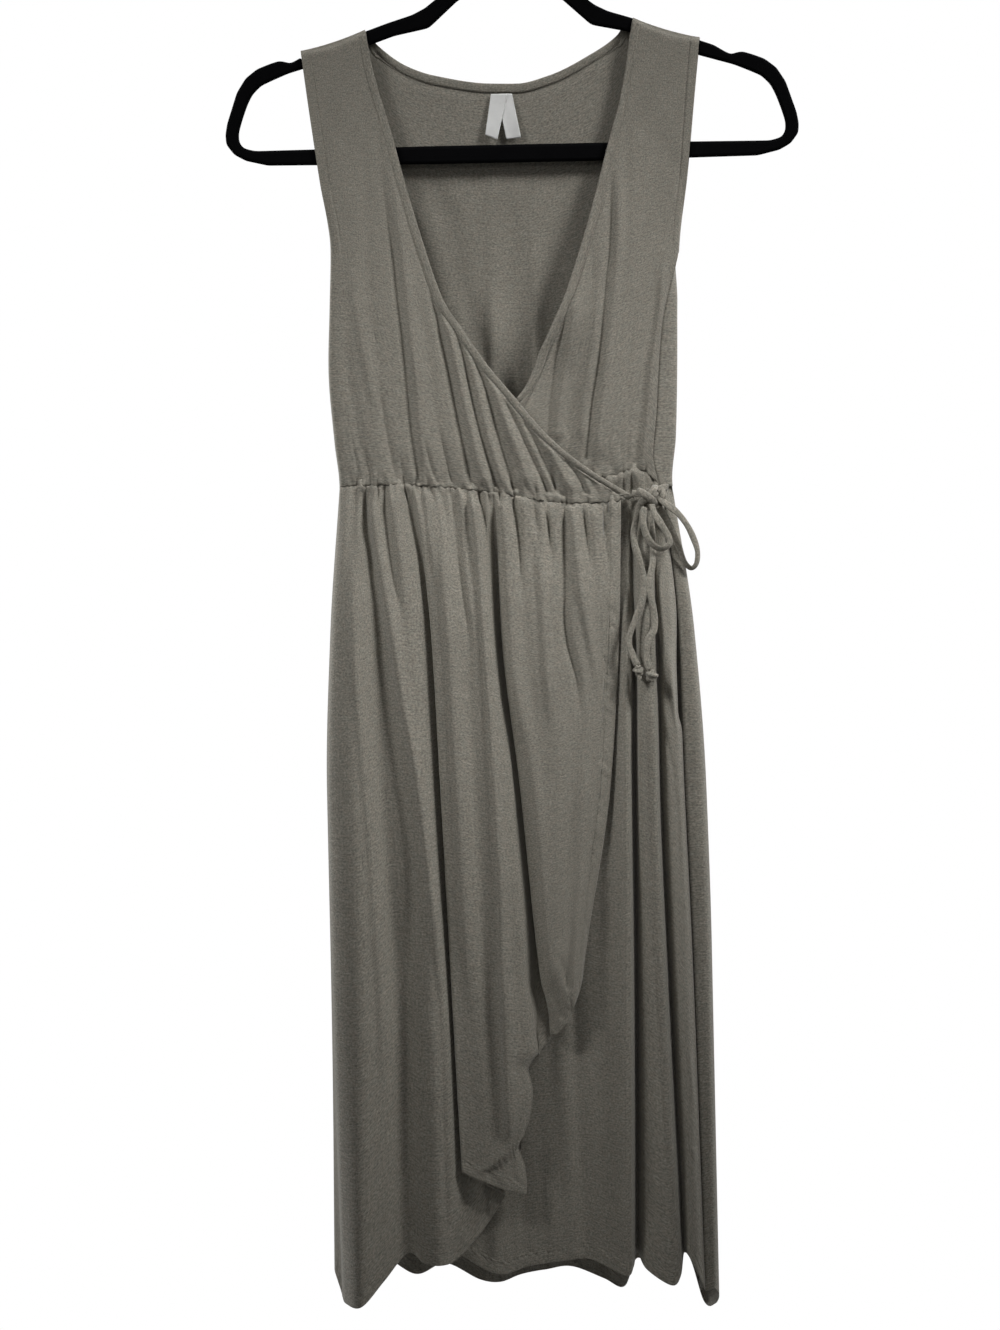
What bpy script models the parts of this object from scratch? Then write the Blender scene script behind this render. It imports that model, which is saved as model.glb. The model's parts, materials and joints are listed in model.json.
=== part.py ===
"""Sleeveless wrap dress in light slub jersey, hanging on a slim flocked hanger.

The dress faces -Y.  The origin is the point inside the hook where a rail bears.
Sizes and tables are in millimetres; Blender's own units are metres.
"""
from collections import namedtuple
from math import cos, pi, radians, sin

import bmesh
import bpy
from mathutils import Vector

MM = 0.001
WALL = 1.2                 # cloth wall
SEAM_GAP = 0.3             # between sewn pieces
ARMHOLE_STRIP = 4.0        # the back's armhole edge, which turns to the front below it
WRAP_START = 0.93          # share of the back's width where it turns
WAIST_Z = -487.0
BACK_WAIST_Z = -489.0
SIDE_EDGE = WALL / 2       # middle of the wall at a side seam, from the middle plane
WAIST_GAP = 2 * SEAM_GAP   # height from a bodice's lower edge to its skirt's upper edge
UNDER_WAIST_HALF = 7.0     # half depth of the under skirt at the waist
HIP_Z, THIGH_Z, KNEE_Z = -600.0, -720.0, -850.0
UNDERARM_Z = -306.0
SECTION_POWER = 2.6        # 2 is an ellipse, more is boxier
BAND_WALL = 1.0            # bindings
BAND_GAP = 0.5             # from a panel to the binding on it
SHOULDER_ROLL = 4.6        # radius of the cloth over the hanger's arm
OVER_WAIST_HALF = 14.0     # half depth at the waist of the over skirt
BACK_WAIST_HALF = 12.0     # and of the back one

CLOTH = (0.205, 0.195, 0.165, 1)
BAND = (0.185, 0.178, 0.150, 1)
TAPE = (0.75, 0.74, 0.70, 1)
FLOCK = (0.010, 0.010, 0.011, 1)
STEEL = (0.60, 0.60, 0.60, 1)

# ---------------------------------------------------------------- tables
Section = namedtuple("Section", "z left right front back")
SECTIONS = [               # silhouette and half depths of the closed bodice
    Section(-140, -163.5, 147.0, 4.6, 4.6),
    Section(-187, -158.0, 141.7, 5.2, 5.2),
    Section(-248, -150.0, 135.0, 8.0, 7.0),
    Section(-300, -142.5, 127.8, 11.0, 9.5),
    Section(-342, -144.0, 125.2, 13.0, 11.5),
    Section(-394, -146.0, 124.0, 14.5, 13.0),
    Section(-450, -142.5, 121.8, 15.0, 13.0),
    Section(-484, -139.3, 118.2, 14.0, 12.0),
    Section(-500, -140.5, 119.6, 14.0, 12.0),
]

Edge = namedtuple("Edge", "x z")
OVER_NECK = [Edge(-112.5, -130.3), Edge(-107, -163.8), Edge(-94.7, -208.3), Edge(-84, -250.4),
             Edge(-70.3, -299.6), Edge(-57.1, -339.5), Edge(-42.9, -363.1), Edge(-23.3, -392.2),
             Edge(-2.9, -417.4), Edge(17.6, -442.7), Edge(38.1, -462.5), Edge(58.7, -476.9),
             Edge(78.7, -488.2), Edge(89.4, -494.7)]
UNDER_NECK = [Edge(95.6, -125.2), Edge(85.9, -181), Edge(74.1, -223.5), Edge(56.5, -286),
              Edge(40.8, -333), Edge(31.8, -353.7), Edge(18.9, -380.6), Edge(0.2, -417.5),
              Edge(-52, -452), Edge(-112, -485)]
BACK_NECK = [Edge(-110.5, -131.5), Edge(-102.7, -142.9), Edge(-80.5, -159.7), Edge(-59.7, -167.1),
             Edge(-15.6, -174.2), Edge(6.9, -174.7), Edge(32.6, -169), Edge(65.5, -153.4),
             Edge(86.8, -138.3), Edge(93.8, -126.5)]
LEFT_SHOULDER = [Edge(-163.8, -145.6), Edge(-112.5, -130.3)]
RIGHT_SHOULDER = [Edge(95.6, -125.2), Edge(147.1, -141.4)]
OVER_WAIST = [Edge(-139.3, -484.4), Edge(-97.4, -483.6), Edge(-66.4, -485.6), Edge(-20.7, -491.2),
              Edge(26.5, -499.8), Edge(68.3, -500.6), Edge(89.4, -497.5)]
UNDER_WAIST = [Edge(-113, -485), Edge(-20, -486), Edge(65.6, -481), Edge(85.2, -476),
               Edge(98.3, -478), Edge(109, -489.6)]
RIGHT_SEAM = [Edge(126.6, -306), Edge(112.3, -368), Edge(107, -434.5), Edge(104, -466),
              Edge(109, -489.6)]

Crease = namedtuple("Crease", "name top_x top_z foot_x width depth")
OVER_BODICE_CREASES = [    # valleys that fan up from the gathered waist
    Crease("strap_outer", -130, -250, -128, 5, 1.6),
    Crease("strap_inner", -122, -300, -117, 5, 1.8),
    Crease("side_soft", -109, -290, -105, 6, 2.0),
    Crease("bust_left", -94, -300, -81, 6, 3.6),
    Crease("bust_main", -66, -315, -38, 7, 5.5),
    Crease("bust_mid", -44, -362, -25, 5, 3.4),
    Crease("bust_right", -31, -382, -4, 6, 4.6),
    Crease("wrap_left", -11, -410, 19, 6, 4.4),
    Crease("wrap_mid", 9, -438, 35, 5, 3.6),
    Crease("wrap_right", 38, -464, 55, 4, 2.4),
]
UNDER_BODICE_CREASES = [
    Crease("beside_neck", 43, -320, 0, 6, 2.2),
    Crease("bust_left", 36, -370, 20, 5, 2.2),
    Crease("bust_mid", 61, -360, 53, 6, 3.4),
    Crease("bust_right", 83, -400, 80, 5, 3.0),
    Crease("beside_seam", 106, -330, 95, 5, 2.8),
]
BACK_BODICE_CREASES = [
    Crease("left_side", -118, -340, -112, 6, 2.6),
    Crease("left_outer", -92, -300, -88, 7, 3.6),
    Crease("left_inner", -62, -350, -64, 6, 3.0),
    Crease("middle_left", -34, -310, -30, 7, 3.6),
    Crease("middle", -6, -370, -8, 6, 2.8),
    Crease("middle_right", 22, -320, 18, 7, 3.6),
    Crease("right_inner", 50, -355, 48, 6, 3.0),
    Crease("right_outer", 78, -300, 74, 7, 3.6),
    Crease("right_side", 100, -345, 97, 6, 2.6),
]

Line = namedtuple("Line", "name waist_x hip_x thigh_x knee_x hem_x hem_z hip_y knee_y hem_y")
OVER_SKIRT_LINES = [       # down the cloth, from the left side seam to the free edge
    Line("side_seam", -139.3, -149.0, -154.0, -153.8, -150.4, -1112, -0.6, -0.6, -0.6),
    Line("side_roll", -136.0, -145.6, -150.4, -150.0, -147.6, -1118, -12, -14, -15),
    Line("ridge_a", -124.0, -131.0, -134.0, -133.0, -136.0, -1121, -20, -27, -30),
    Line("slope_a", -115.0, -121.0, -121.0, -117.0, -118.0, -1101, -18, -23, -22),
    Line("valley_a", -107.0, -111.0, -108.0, -102.0, -99.0, -1079.5, -16, -16, -14),
    Line("slope_b", -98.0, -99.0, -93.0, -87.0, -86.0, -1088, -20, -24, -24),
    Line("ridge_b", -93.0, -87.0, -80.0, -75.0, -73.0, -1090, -21, -29, -32),
    Line("fall_b", -90.0, -77.0, -71.0, -66.5, -61.0, -1085, -17, -21, -24),
    Line("under_b", -87.0, -70.5, -63.5, -56.0, -42.0, -1066, -12.5, -13.5, -15),
    Line("tuck_b", -85.4, -67.5, -60.0, -51.5, -24.0, -1040, -12.2, -13.5, -15.8),
    Line("turn_b", -84.2, -66.4, -58.3, -48.6, -20.5, -1034, -13.2, -15.6, -19.2),
    Line("turn_c", -83.1, -66.6, -59.0, -50.0, -23.5, -1032.5, -15.2, -18, -22.6),
    Line("return_c", -81.9, -67.8, -61.2, -53.7, -40.0, -1026.5, -17.8, -20.4, -24),
    Line("edge_c", -80.0, -70.6, -66.0, -61.5, -55.8, -1018, -21, -24, -28),
    Line("rise_c", -70.0, -60.0, -54.0, -48.0, -42.0, -1024.5, -24, -28, -31),
    Line("crown_c", -52.0, -42.0, -36.0, -26.0, -26.0, -1031.5, -25, -32, -36),
    Line("ridge_c", -35.0, -28.0, -20.0, -9.0, -12.5, -1035, -22, -31, -38),
    Line("corner_c", -28.0, -22.0, -12.0, -2.5, -5.7, -1034, -17, -25, -34),
    Line("under_d", -24.5, -17.0, -6.0, 4.5, -0.5, -958, -12.5, -16, -27),
    Line("turn_d", -21.5, -12.5, -1.5, 12.0, 15.0, -916, -12.5, -15.5, -19.5),
    Line("return_d", -19.4, -13.8, -3.8, 9.6, 14.2, -913, -15.5, -19, -23.5),
    Line("edge_d", -17.5, -17.5, -8.5, 5.0, 12.0, -912, -18, -23, -27),
    Line("rise_d", -5.0, -4.0, 5.0, 14.0, 18.0, -912, -23, -28, -30),
    Line("crown_d", 16.0, 16.0, 24.0, 25.0, 26.0, -902, -25, -33, -33),
    Line("ridge_d", 45.0, 46.0, 46.0, 36.0, 34.0, -889, -25, -31, -32),
    Line("slope_d", 63.0, 62.0, 57.0, 40.5, 37.8, -880, -23, -27, -29),
    Line("free_edge", 78.5, 74.8, 65.6, 43.4, 40.4, -871, -20, -24, -25),
]
UNDER_SKIRT_LINES = [      # from the hidden free edge to the right side seam
    Line("free_edge", -113.0, -107.0, -99.0, -90.0, -76.0, -1008, -7.6, -8.6, -9),
    Line("corner", -98.0, -92.0, -84.0, -78.0, -64.0, -1070, -7.6, -8.8, -10),
    Line("hem_start", -78.0, -74.0, -70.0, -66.0, -50.0, -1087, -7.8, -9, -11),
    Line("crown_a", -48.0, -48.0, -48.0, -44.0, -27.0, -1097.5, -7.8, -9, -12.5),
    Line("slope_a", -10.0, -10.0, -10.0, -10.0, -5.0, -1091.5, -7.8, -10, -13),
    Line("slope_b", 22.0, 20.0, 19.0, 19.0, 24.0, -1088, -7.8, -11, -16),
    Line("valley_b", 45.0, 42.0, 39.0, 38.0, 42.0, -1087, -8, -13, -16),
    Line("rise_b", 62.0, 66.0, 65.0, 60.0, 60.0, -1096, -9, -18, -25),
    Line("ridge_b", 78.0, 79.6, 77.5, 75.5, 71.5, -1101, -14, -27, -31),
    Line("fall_b", 82.5, 83.2, 81.3, 80.0, 75.5, -1094, -13, -21, -25),
    Line("groove_b", 86.0, 86.2, 84.6, 83.4, 79.0, -1082, -8.5, -10, -12),
    Line("rise_c", 90.5, 92.0, 90.0, 90.0, 88.0, -1096, -19, -20, -20),
    Line("ridge_c", 97.0, 101.0, 100.5, 102.0, 106.0, -1109, -24, -28, -29),
    Line("fall_c", 99.8, 104.0, 104.0, 106.0, 112.5, -1102, -20, -24, -25),
    Line("groove_c", 102.3, 106.8, 107.0, 109.0, 115.5, -1084, -12.5, -14, -14),
    Line("rise_d", 105.5, 111.5, 112.5, 115.0, 119.5, -1086, -18, -21, -21),
    Line("ridge_d", 108.3, 116.5, 118.0, 121.5, 126.0, -1100, -18, -20.5, -20),
    Line("side_seam", 110.2, 120.2, 122.6, 126.2, 130.6, -1113, -12.5, -14.5, -14),
]
BACK_SKIRT_LINES = [       # from the left side seam round the back to the right one
    Line("left_seam", -139.3, -149.0, -154.0, -153.8, -150.4, -1112, 0.6, 0.6, 0.6),
    Line("left_roll", -136.2, -147.0, -152.2, -152.4, -155.8, -1090, 10, 12, 13),
    Line("ridge_a", -124.0, -136.0, -139.0, -139.0, -143.0, -1098, 21, 27, 30),
    Line("valley_a", -110.0, -117.0, -118.0, -117.0, -119.0, -1083, 15, 15, 13),
    Line("ridge_b", -94.0, -98.0, -97.0, -95.0, -93.0, -1096, 22, 31, 34),
    Line("valley_b", -75.0, -76.0, -75.0, -73.0, -70.0, -1088, 15, 16, 15),
    Line("ridge_c", -54.0, -54.0, -51.0, -48.0, -44.0, -1101, 23, 34, 38),
    Line("slope_c", -42.0, -42.0, -38.0, -35.0, -28.0, -1103.5, 20, 27, 30),
    Line("valley_c", -30.0, -30.0, -26.0, -22.0, -12.0, -1098, 15, 18, 18),
    Line("ridge_d", -8.0, -6.0, -2.0, 2.0, 8.0, -1094.5, 24, 36, 40),
    Line("valley_d", 14.0, 16.0, 19.0, 22.0, 28.0, -1092.5, 15, 18, 18),
    Line("ridge_e", 34.0, 37.0, 41.0, 45.0, 52.0, -1102, 23, 34, 38),
    Line("slope_e", 46.0, 50.0, 54.0, 58.0, 68.0, -1109, 19, 26, 29),
    Line("valley_e", 56.0, 62.0, 67.0, 70.0, 79.0, -1087, 15, 16, 15),
    Line("ridge_f", 75.0, 84.0, 90.0, 93.0, 98.0, -1101, 22, 30, 33),
    Line("valley_f", 92.0, 103.0, 110.0, 113.0, 117.0, -1084, 15, 16, 15),
    Line("ridge_g", 106.0, 119.0, 127.0, 130.0, 130.0, -1122, 16, 22, 22),
    Line("right_roll", 114.5, 129.0, 136.6, 138.8, 138.0, -1124, 9, 11, 11),
    Line("right_side", 118.2, 132.8, 139.6, 141.3, 141.4, -1118, 0.0, 0.0, 0.0),
    Line("front_roll", 115.4, 130.0, 135.6, 137.4, 138.4, -1112, -7.5, -10, -10),
    Line("right_seam", 111.4, 121.4, 123.8, 127.4, 131.8, -1114, -10.8, -12.8, -12.4),
]

OVER_GATHERS = (-127.7, -118.4, -106, -87.4, -73, -60.2, -50.9, -40.9, -30.8, -17.7,
                -1.4, 12.5, 21.8, 35.8, 49.8, 65.3)
UNDER_GATHERS = (-90, -66, -42, -18, 6, 30, 52, 68, 86, 102)
BACK_GATHERS = (-127, -112, -99, -86, -74, -61, -49, -36, -24, -11, 1, 13, 25, 38, 51, 64, 78, 92)
GATHER_DEPTH = 1.7
GATHER_REACH = 62.0        # how far down the skirt a gather runs
GATHER_HALF = 6.0          # from the outermost valleys to the flat cloth beside them
SKIRT_ROWS = (0, 0.012, 0.03, 0.06, 0.105, 0.165, 0.25, 0.36, 0.48, 0.6, 0.72, 0.83, 0.92, 1)


# ---------------------------------------------------------------- curves
def mix(a, b, t):
    return a + (b - a) * t


def ease(t):
    t = min(max(t, 0.0), 1.0)
    return t * t * (3 - 2 * t)


def spline(values, t):
    """Catmull-Rom through evenly numbered values; t counts them."""
    last = len(values) - 1
    i = min(max(int(t), 0), last - 1)
    f = t - i
    p1, p2 = values[i], values[i + 1]
    p0 = values[i - 1] if i > 0 else 2 * p1 - p2
    p3 = values[i + 2] if i + 2 <= last else 2 * p2 - p1
    m1, m2 = (p2 - p0) / 2, (p3 - p1) / 2
    return ((2 * f**3 - 3 * f**2 + 1) * p1 + (f**3 - 2 * f**2 + f) * m1
            + (3 * f**2 - 2 * f**3) * p2 + (f**3 - f**2) * m2)


def through(stops, values, x):
    """Smooth curve without overshoot through (stop, value) pairs; stops rise."""
    x = min(max(x, stops[0]), stops[-1])
    i = max(k for k in range(len(stops) - 1) if stops[k] <= x or k == 0)
    slopes = [(values[k + 1] - values[k]) / (stops[k + 1] - stops[k]) for k in range(len(stops) - 1)]

    def tangent(k):
        if k == 0 or k == len(slopes):
            return slopes[min(k, len(slopes) - 1)]
        a, b = slopes[k - 1], slopes[k]
        return 2 * a * b / (a + b) if a * b > 0 else 0.0
    step = stops[i + 1] - stops[i]
    f = (x - stops[i]) / step
    return ((2 * f**3 - 3 * f**2 + 1) * values[i] + (f**3 - 2 * f**2 + f) * tangent(i) * step
            + (3 * f**2 - 2 * f**3) * values[i + 1] + (f**3 - f**2) * tangent(i + 1) * step)


def along(edge, t):
    """Point at fraction t of an edge, by its chord lengths."""
    lengths = [0.0]
    for a, b in zip(edge, edge[1:]):
        lengths.append(lengths[-1] + ((b.x - a.x)**2 + (b.z - a.z)**2) ** 0.5)
    want = t * lengths[-1]
    i = max(k for k in range(len(lengths) - 1) if lengths[k] <= want + 1e-9)
    u = i + (want - lengths[i]) / (lengths[i + 1] - lengths[i])
    return spline([p.x for p in edge], u), spline([p.z for p in edge], u)


def section(z):
    """Silhouette and half depths of the bodice at a height."""
    stops = [-s.z for s in SECTIONS]
    return [through(stops, [s[k] for s in SECTIONS], -z) for k in (1, 2, 3, 4)]


def depth(x, z, side):
    """Distance of the bodice cloth from the middle plane; side is "front" or "back"."""
    left, right, front, back = section(z)
    half = front if side == "front" else back
    u = min(abs((x - (left + right) / 2) / ((right - left) / 2)), 1.0)
    crown = (1 - u**SECTION_POWER) ** (1 / SECTION_POWER)
    armhole = SHOULDER_ROLL * ease((z - UNDERARM_Z) / 90.0)
    return max(half * crown, armhole) if z > UNDERARM_Z else half * crown


def crease_depth(creases, x, z, foot_z=WAIST_Z):
    total = 0.0
    for c in creases:
        t = (c.top_z - z) / (c.top_z - foot_z)
        if t <= -0.15:
            continue
        middle = mix(c.top_x, c.foot_x, t)
        width = mix(1.6, 0.8, ease(t)) * c.width
        reach = ease((t + 0.15) / 0.55) * mix(1.0, 0.6, ease((t - 0.8) / 0.2))
        total += c.depth * reach * 2.718 ** (-((x - middle) / width) ** 2)
    return total


def gather_wave(valleys, x):
    """-1 at each valley, +1 half way between two."""
    outside = max(valleys[0] - x, x - valleys[-1])
    if outside >= 0:
        return -cos(pi * min(outside / GATHER_HALF, 1.0))
    i = max(k for k in range(len(valleys) - 1) if valleys[k] <= x)
    f = (x - valleys[i]) / (valleys[i + 1] - valleys[i])
    return -cos(2 * pi * f)


# ---------------------------------------------------------------- cloth forms
def over_bodice(u, v):
    """The over front: u from armhole to neckline, v from shoulder to waist."""
    return bodice_point(u, v, LEFT_SHOULDER, OVER_WAIST, left_side, lambda t: along(OVER_NECK, t),
                        OVER_BODICE_CREASES, over_front, OVER_GATHERS)


def under_bodice(u, v):
    """The under front: u from neckline to side, v from shoulder to waist."""
    return bodice_point(u, v, RIGHT_SHOULDER, UNDER_WAIST, lambda t: along(UNDER_NECK, t),
                        right_side_front, UNDER_BODICE_CREASES, under_front, UNDER_GATHERS)


def left_side(t):
    z = mix(LEFT_SHOULDER[0].z, OVER_WAIST[0].z, t)
    return section(z)[0], z


def right_side_front(t):
    z = mix(RIGHT_SHOULDER[-1].z, UNDER_WAIST[-1].z, t)
    if z > UNDERARM_Z:
        return section(z)[1], z
    stops = [-e.z for e in RIGHT_SEAM]
    return through(stops, [e.x for e in RIGHT_SEAM], -z), z


def over_front(x, z):
    return depth(x, z, "front")


def under_front(x, z):
    """The under front lies behind the over front where they cross."""
    covered = ease((72 - x) / 40) * ease((-345 - z) / 60)
    return depth(x, z, "front") - 6.8 * covered - 1.0 * ease((-440 - z) / 40)


def shoulder_z(x):
    """Height of the shoulder seam's line, carried on towards the neck."""
    a, b = LEFT_SHOULDER if x < 0 else RIGHT_SHOULDER
    return a.z + (b.z - a.z) * (x - a.x) / (b.x - a.x)


def roll_over(x, z, flat):
    """Depth near the shoulder, where cloth rolls over the hanger's arm."""
    lean = 1 - min(max((shoulder_z(x) - z) / SHOULDER_ROLL, 0.0), 1.0)
    return flat * (1 - lean * lean) ** 0.5


def bodice_point(u, v, top, foot, left, right, creases, form, gathers):
    """Coons patch in the front plane, pushed out to the garment's depth."""
    tx, tz = along(top, u)
    fx, fz = along(foot, u)
    lx, lz = left(v)
    rx, rz = right(v)
    corners = [top[0], top[-1], foot[0], foot[-1]]
    x = (mix(tx, fx, v) + mix(lx, rx, u)
         - mix(mix(corners[0].x, corners[1].x, u), mix(corners[2].x, corners[3].x, u), v))
    z = (mix(tz, fz, v) + mix(lz, rz, u)
         - mix(mix(corners[0].z, corners[1].z, u), mix(corners[2].z, corners[3].z, u), v))
    y = form(x, z)
    edge_fade = ease(min(abs(x - section(z)[0]), abs(x - section(z)[1])) / 12)
    neck = 1 - u if top is LEFT_SHOULDER else u
    edge_fade *= mix(0.15, 1.0, ease(neck / 0.12))
    y -= crease_depth(creases, x, z) * edge_fade
    y += GATHER_DEPTH * 0.6 * gather_wave(gathers, x) * edge_fade * ease((v - 0.93) / 0.07)
    return Vector((x, -max(roll_over(x, z, y), SIDE_EDGE), z))


def back_bodice(u, v):
    """u from the left seam round the back to the right one, v from the top down."""
    top = LEFT_SHOULDER + BACK_NECK[1:-1] + RIGHT_SHOULDER
    x_top = mix(LEFT_SHOULDER[0].x, RIGHT_SHOULDER[-1].x, min(u / WRAP_START, 1.0))
    i = max(k for k in range(len(top) - 1) if top[k].x <= x_top + 1e-6)
    z_top = mix(top[i].z, top[i + 1].z, (x_top - top[i].x) / (top[i + 1].x - top[i].x))
    z = mix(z_top, BACK_WAIST_Z, v)
    left, right, _, _ = section(z)
    corner = right - ARMHOLE_STRIP * (1 - ease((UNDERARM_Z + 10 - z) / 50))
    if u > WRAP_START:
        return back_wrap((u - WRAP_START) / (1 - WRAP_START), z, corner)
    x = mix(left, corner, u / WRAP_START)
    y = depth(x, z, "back")
    edge_fade = ease(min(x - left, right - x) / 12)
    y -= crease_depth(BACK_BODICE_CREASES, x, z) * edge_fade
    y += GATHER_DEPTH * 0.6 * gather_wave(BACK_GATHERS, x) * edge_fade * ease((v - 0.93) / 0.07)
    return Vector((x, max(roll_over(x, z, y), SIDE_EDGE), z))


def back_wrap(t, z, corner):
    """The back's strip that comes forward to the right side seam, below the underarm."""
    right = section(z)[1]
    start_y = max(depth(corner, z, "back"), SIDE_EDGE)
    if z > UNDERARM_Z:
        x, y = right, depth(right, z, "back")
    else:
        stops = [-e.z for e in RIGHT_SEAM]
        x = through(stops, [e.x for e in RIGHT_SEAM], -z) + 0.9
        y = SIDE_EDGE - depth(x, z, "front")
    y = roll_over(x, z, mix(start_y, y, t))
    return Vector((mix(corner, x, t * t), max(y, SIDE_EDGE) if z > UNDERARM_Z else y, z))


def waist_depth(x, half):
    left, right = SECTIONS[-2].left, SECTIONS[-2].right
    u = min(abs((x - (left + right) / 2) / ((right - left) / 2)), 1.0)
    return half * (1 - u**SECTION_POWER) ** (1 / SECTION_POWER)


def skirt_point(lines, t, v, waist, gathers, waist_half):
    """t counts the table's lines, v runs from the waist seam to the hem."""
    top_x = spline([s.waist_x for s in lines], t)
    stops = [e.x for e in waist]
    top_z = through(stops, [e.z for e in waist], top_x)
    hem_z = spline([s.hem_z for s in lines], t)
    z = mix(top_z, hem_z, v)
    levels = [-top_z, -HIP_Z, -THIGH_Z, -KNEE_Z, -hem_z]
    xs = [top_x] + [spline([s[k] for s in lines], t) for k in (2, 3, 4, 5)]
    front = -1 if lines[1].hip_y < 0 else 1
    top_y = front * max(waist_depth(top_x, waist_half), SIDE_EDGE)
    if lines is BACK_SKIRT_LINES and t > len(lines) - 3:
        top_y = SIDE_EDGE - waist_depth(top_x, UNDER_WAIST_HALF)
    ys = [top_y] + [spline([s[k] for s in lines], t) for k in (7, 8, 9)]
    x = through(levels, xs, -z)
    y = through([levels[0], levels[1], levels[3], levels[4]], ys, -z)
    fade = (1 - ease((top_z - z) / GATHER_REACH)) * ease(min(t, len(lines) - 1 - t) / 1.2)
    y += front * GATHER_DEPTH * gather_wave(gathers, top_x) * fade
    return Vector((x, y, z))


def over_skirt(t, v):
    waist = [Edge(e.x, e.z - WAIST_GAP) for e in OVER_WAIST]
    return skirt_point(OVER_SKIRT_LINES, t, v, waist, OVER_GATHERS, OVER_WAIST_HALF)


def under_skirt(t, v):
    waist = [Edge(e.x, e.z - WAIST_GAP) for e in UNDER_WAIST]
    return skirt_point(UNDER_SKIRT_LINES, t, v, waist, UNDER_GATHERS, UNDER_WAIST_HALF)


def back_skirt(t, v):
    waist = [Edge(-139.4, BACK_WAIST_Z - WAIST_GAP), Edge(118.3, BACK_WAIST_Z - WAIST_GAP)]
    return skirt_point(BACK_SKIRT_LINES, t, v, waist, BACK_GATHERS, BACK_WAIST_HALF)


# ---------------------------------------------------------------- Blender helpers
def clear_scene():
    for obj in list(bpy.data.objects):
        bpy.data.objects.remove(obj, do_unlink=True)


def material(name, colour, roughness, metallic=0.0):
    mat = bpy.data.materials.new(name)
    mat.use_nodes = True
    shader = mat.node_tree.nodes["Principled BSDF"]
    shader.inputs["Base Color"].default_value = colour
    shader.inputs["Roughness"].default_value = roughness
    shader.inputs["Metallic"].default_value = metallic
    mat.diffuse_color = colour
    return mat


def add_object(name, data, mat, collection):
    obj = bpy.data.objects.new(name, data)
    obj.data.materials.append(mat)
    collection.objects.link(obj)
    return obj


def cloth_sheet(name, point, columns, rows, mat, collection, wall=WALL):
    """A grid bent by point(column, row), thickened with Solidify."""
    bm = bmesh.new()
    bmesh.ops.create_grid(bm, x_segments=len(columns) - 1, y_segments=len(rows) - 1, size=0.5)
    bm.verts.ensure_lookup_table()
    for vert in bm.verts:
        i = round((vert.co.x + 0.5) * (len(columns) - 1))
        j = round((0.5 - vert.co.y) * (len(rows) - 1))
        vert.co = point(columns[i], rows[j]) * MM
    mesh = bpy.data.meshes.new(name)
    bm.to_mesh(mesh)
    bm.free()
    mesh.shade_smooth()
    obj = add_object(name, mesh, mat, collection)
    solidify = obj.modifiers.new("wall", "SOLIDIFY")
    solidify.thickness = wall * MM
    solidify.offset = 0.0
    mesh.set_sharp_from_angle(angle=radians(60))


def even(count, low=0.0, high=1.0):
    return [mix(low, high, i / count) for i in range(count + 1)]


def skirt_columns(lines, gathers, spacing=1.6):
    """The table's own lines, with each gather's valley and the ridge after it."""
    waist = [s.waist_x for s in lines]
    marks = [(k, True) for k in range(len(lines))]
    tops = list(gathers) + [mix(a, b, 0.5) for a, b in zip(gathers, gathers[1:])]
    turn = waist.index(max(waist))
    for x in tops:
        k = max(i for i in range(turn) if waist[i] <= x)
        marks.append((k + (x - waist[k]) / (waist[k + 1] - waist[k]), False))
    marks.sort()
    kept = [marks[0]]
    for t, is_line in marks[1:]:
        gap = abs(spline(waist, t) - spline(waist, kept[-1][0]))
        if is_line and not kept[-1][1] and gap < spacing:
            kept[-1] = (t, True)
        elif is_line or gap >= spacing:
            kept.append((t, is_line))
    return [t for t, _ in kept]


def tube(name, path, radius, mat, collection, resolution=2):
    """A filled tube along a smooth curve through the path's points."""
    count = max(int(path_length(path) / (radius * 4.4)), 6)
    points = [smooth_path(path, i / count) for i in range(count + 1)]
    curve = bpy.data.curves.new(name, "CURVE")
    curve.dimensions = "3D"
    curve.bevel_depth = radius * MM
    curve.bevel_resolution = resolution
    curve.use_fill_caps = True
    line = curve.splines.new("POLY")
    line.points.add(len(points) - 1)
    for slot, p in zip(line.points, points):
        slot.co = (p.x * MM, p.y * MM, p.z * MM, 1)
    return add_object(name, curve, mat, collection)


def path_length(path):
    return sum((Vector(b) - Vector(a)).length for a, b in zip(path, path[1:]))


def smooth_path(path, t):
    """Point at fraction t of a path's length, on a smooth curve."""
    lengths = [0.0]
    for a, b in zip(path, path[1:]):
        lengths.append(lengths[-1] + (Vector(b) - Vector(a)).length)
    want = t * lengths[-1]
    i = max(k for k in range(len(lengths) - 1) if lengths[k] <= want + 1e-9)
    u = i + (want - lengths[i]) / (lengths[i + 1] - lengths[i])
    return Vector([spline([p[k] for p in path], u) for k in range(3)])


def flat_plate(name, outlines, half_thickness, y, mat, collection, round_edge=0.0):
    """Flat outlines in the front plane, the first outside and the rest holes."""
    curve = bpy.data.curves.new(name, "CURVE")
    curve.dimensions = "2D"
    curve.fill_mode = "BOTH"
    curve.extrude = (half_thickness - round_edge) * MM
    curve.bevel_depth = round_edge * MM
    curve.bevel_resolution = 1
    curve.offset = -round_edge * MM      # keeps the outline's own size
    for outline in outlines:
        line = curve.splines.new("POLY")
        line.points.add(len(outline) - 1)
        for slot, (x, z) in zip(line.points, outline):
            slot.co = (x * MM, z * MM, 0, 1)
        line.use_cyclic_u = True
    obj = add_object(name, curve, mat, collection)
    obj.rotation_euler = (pi / 2, 0, 0)
    obj.location = (0, y * MM, 0)
    return obj


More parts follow.
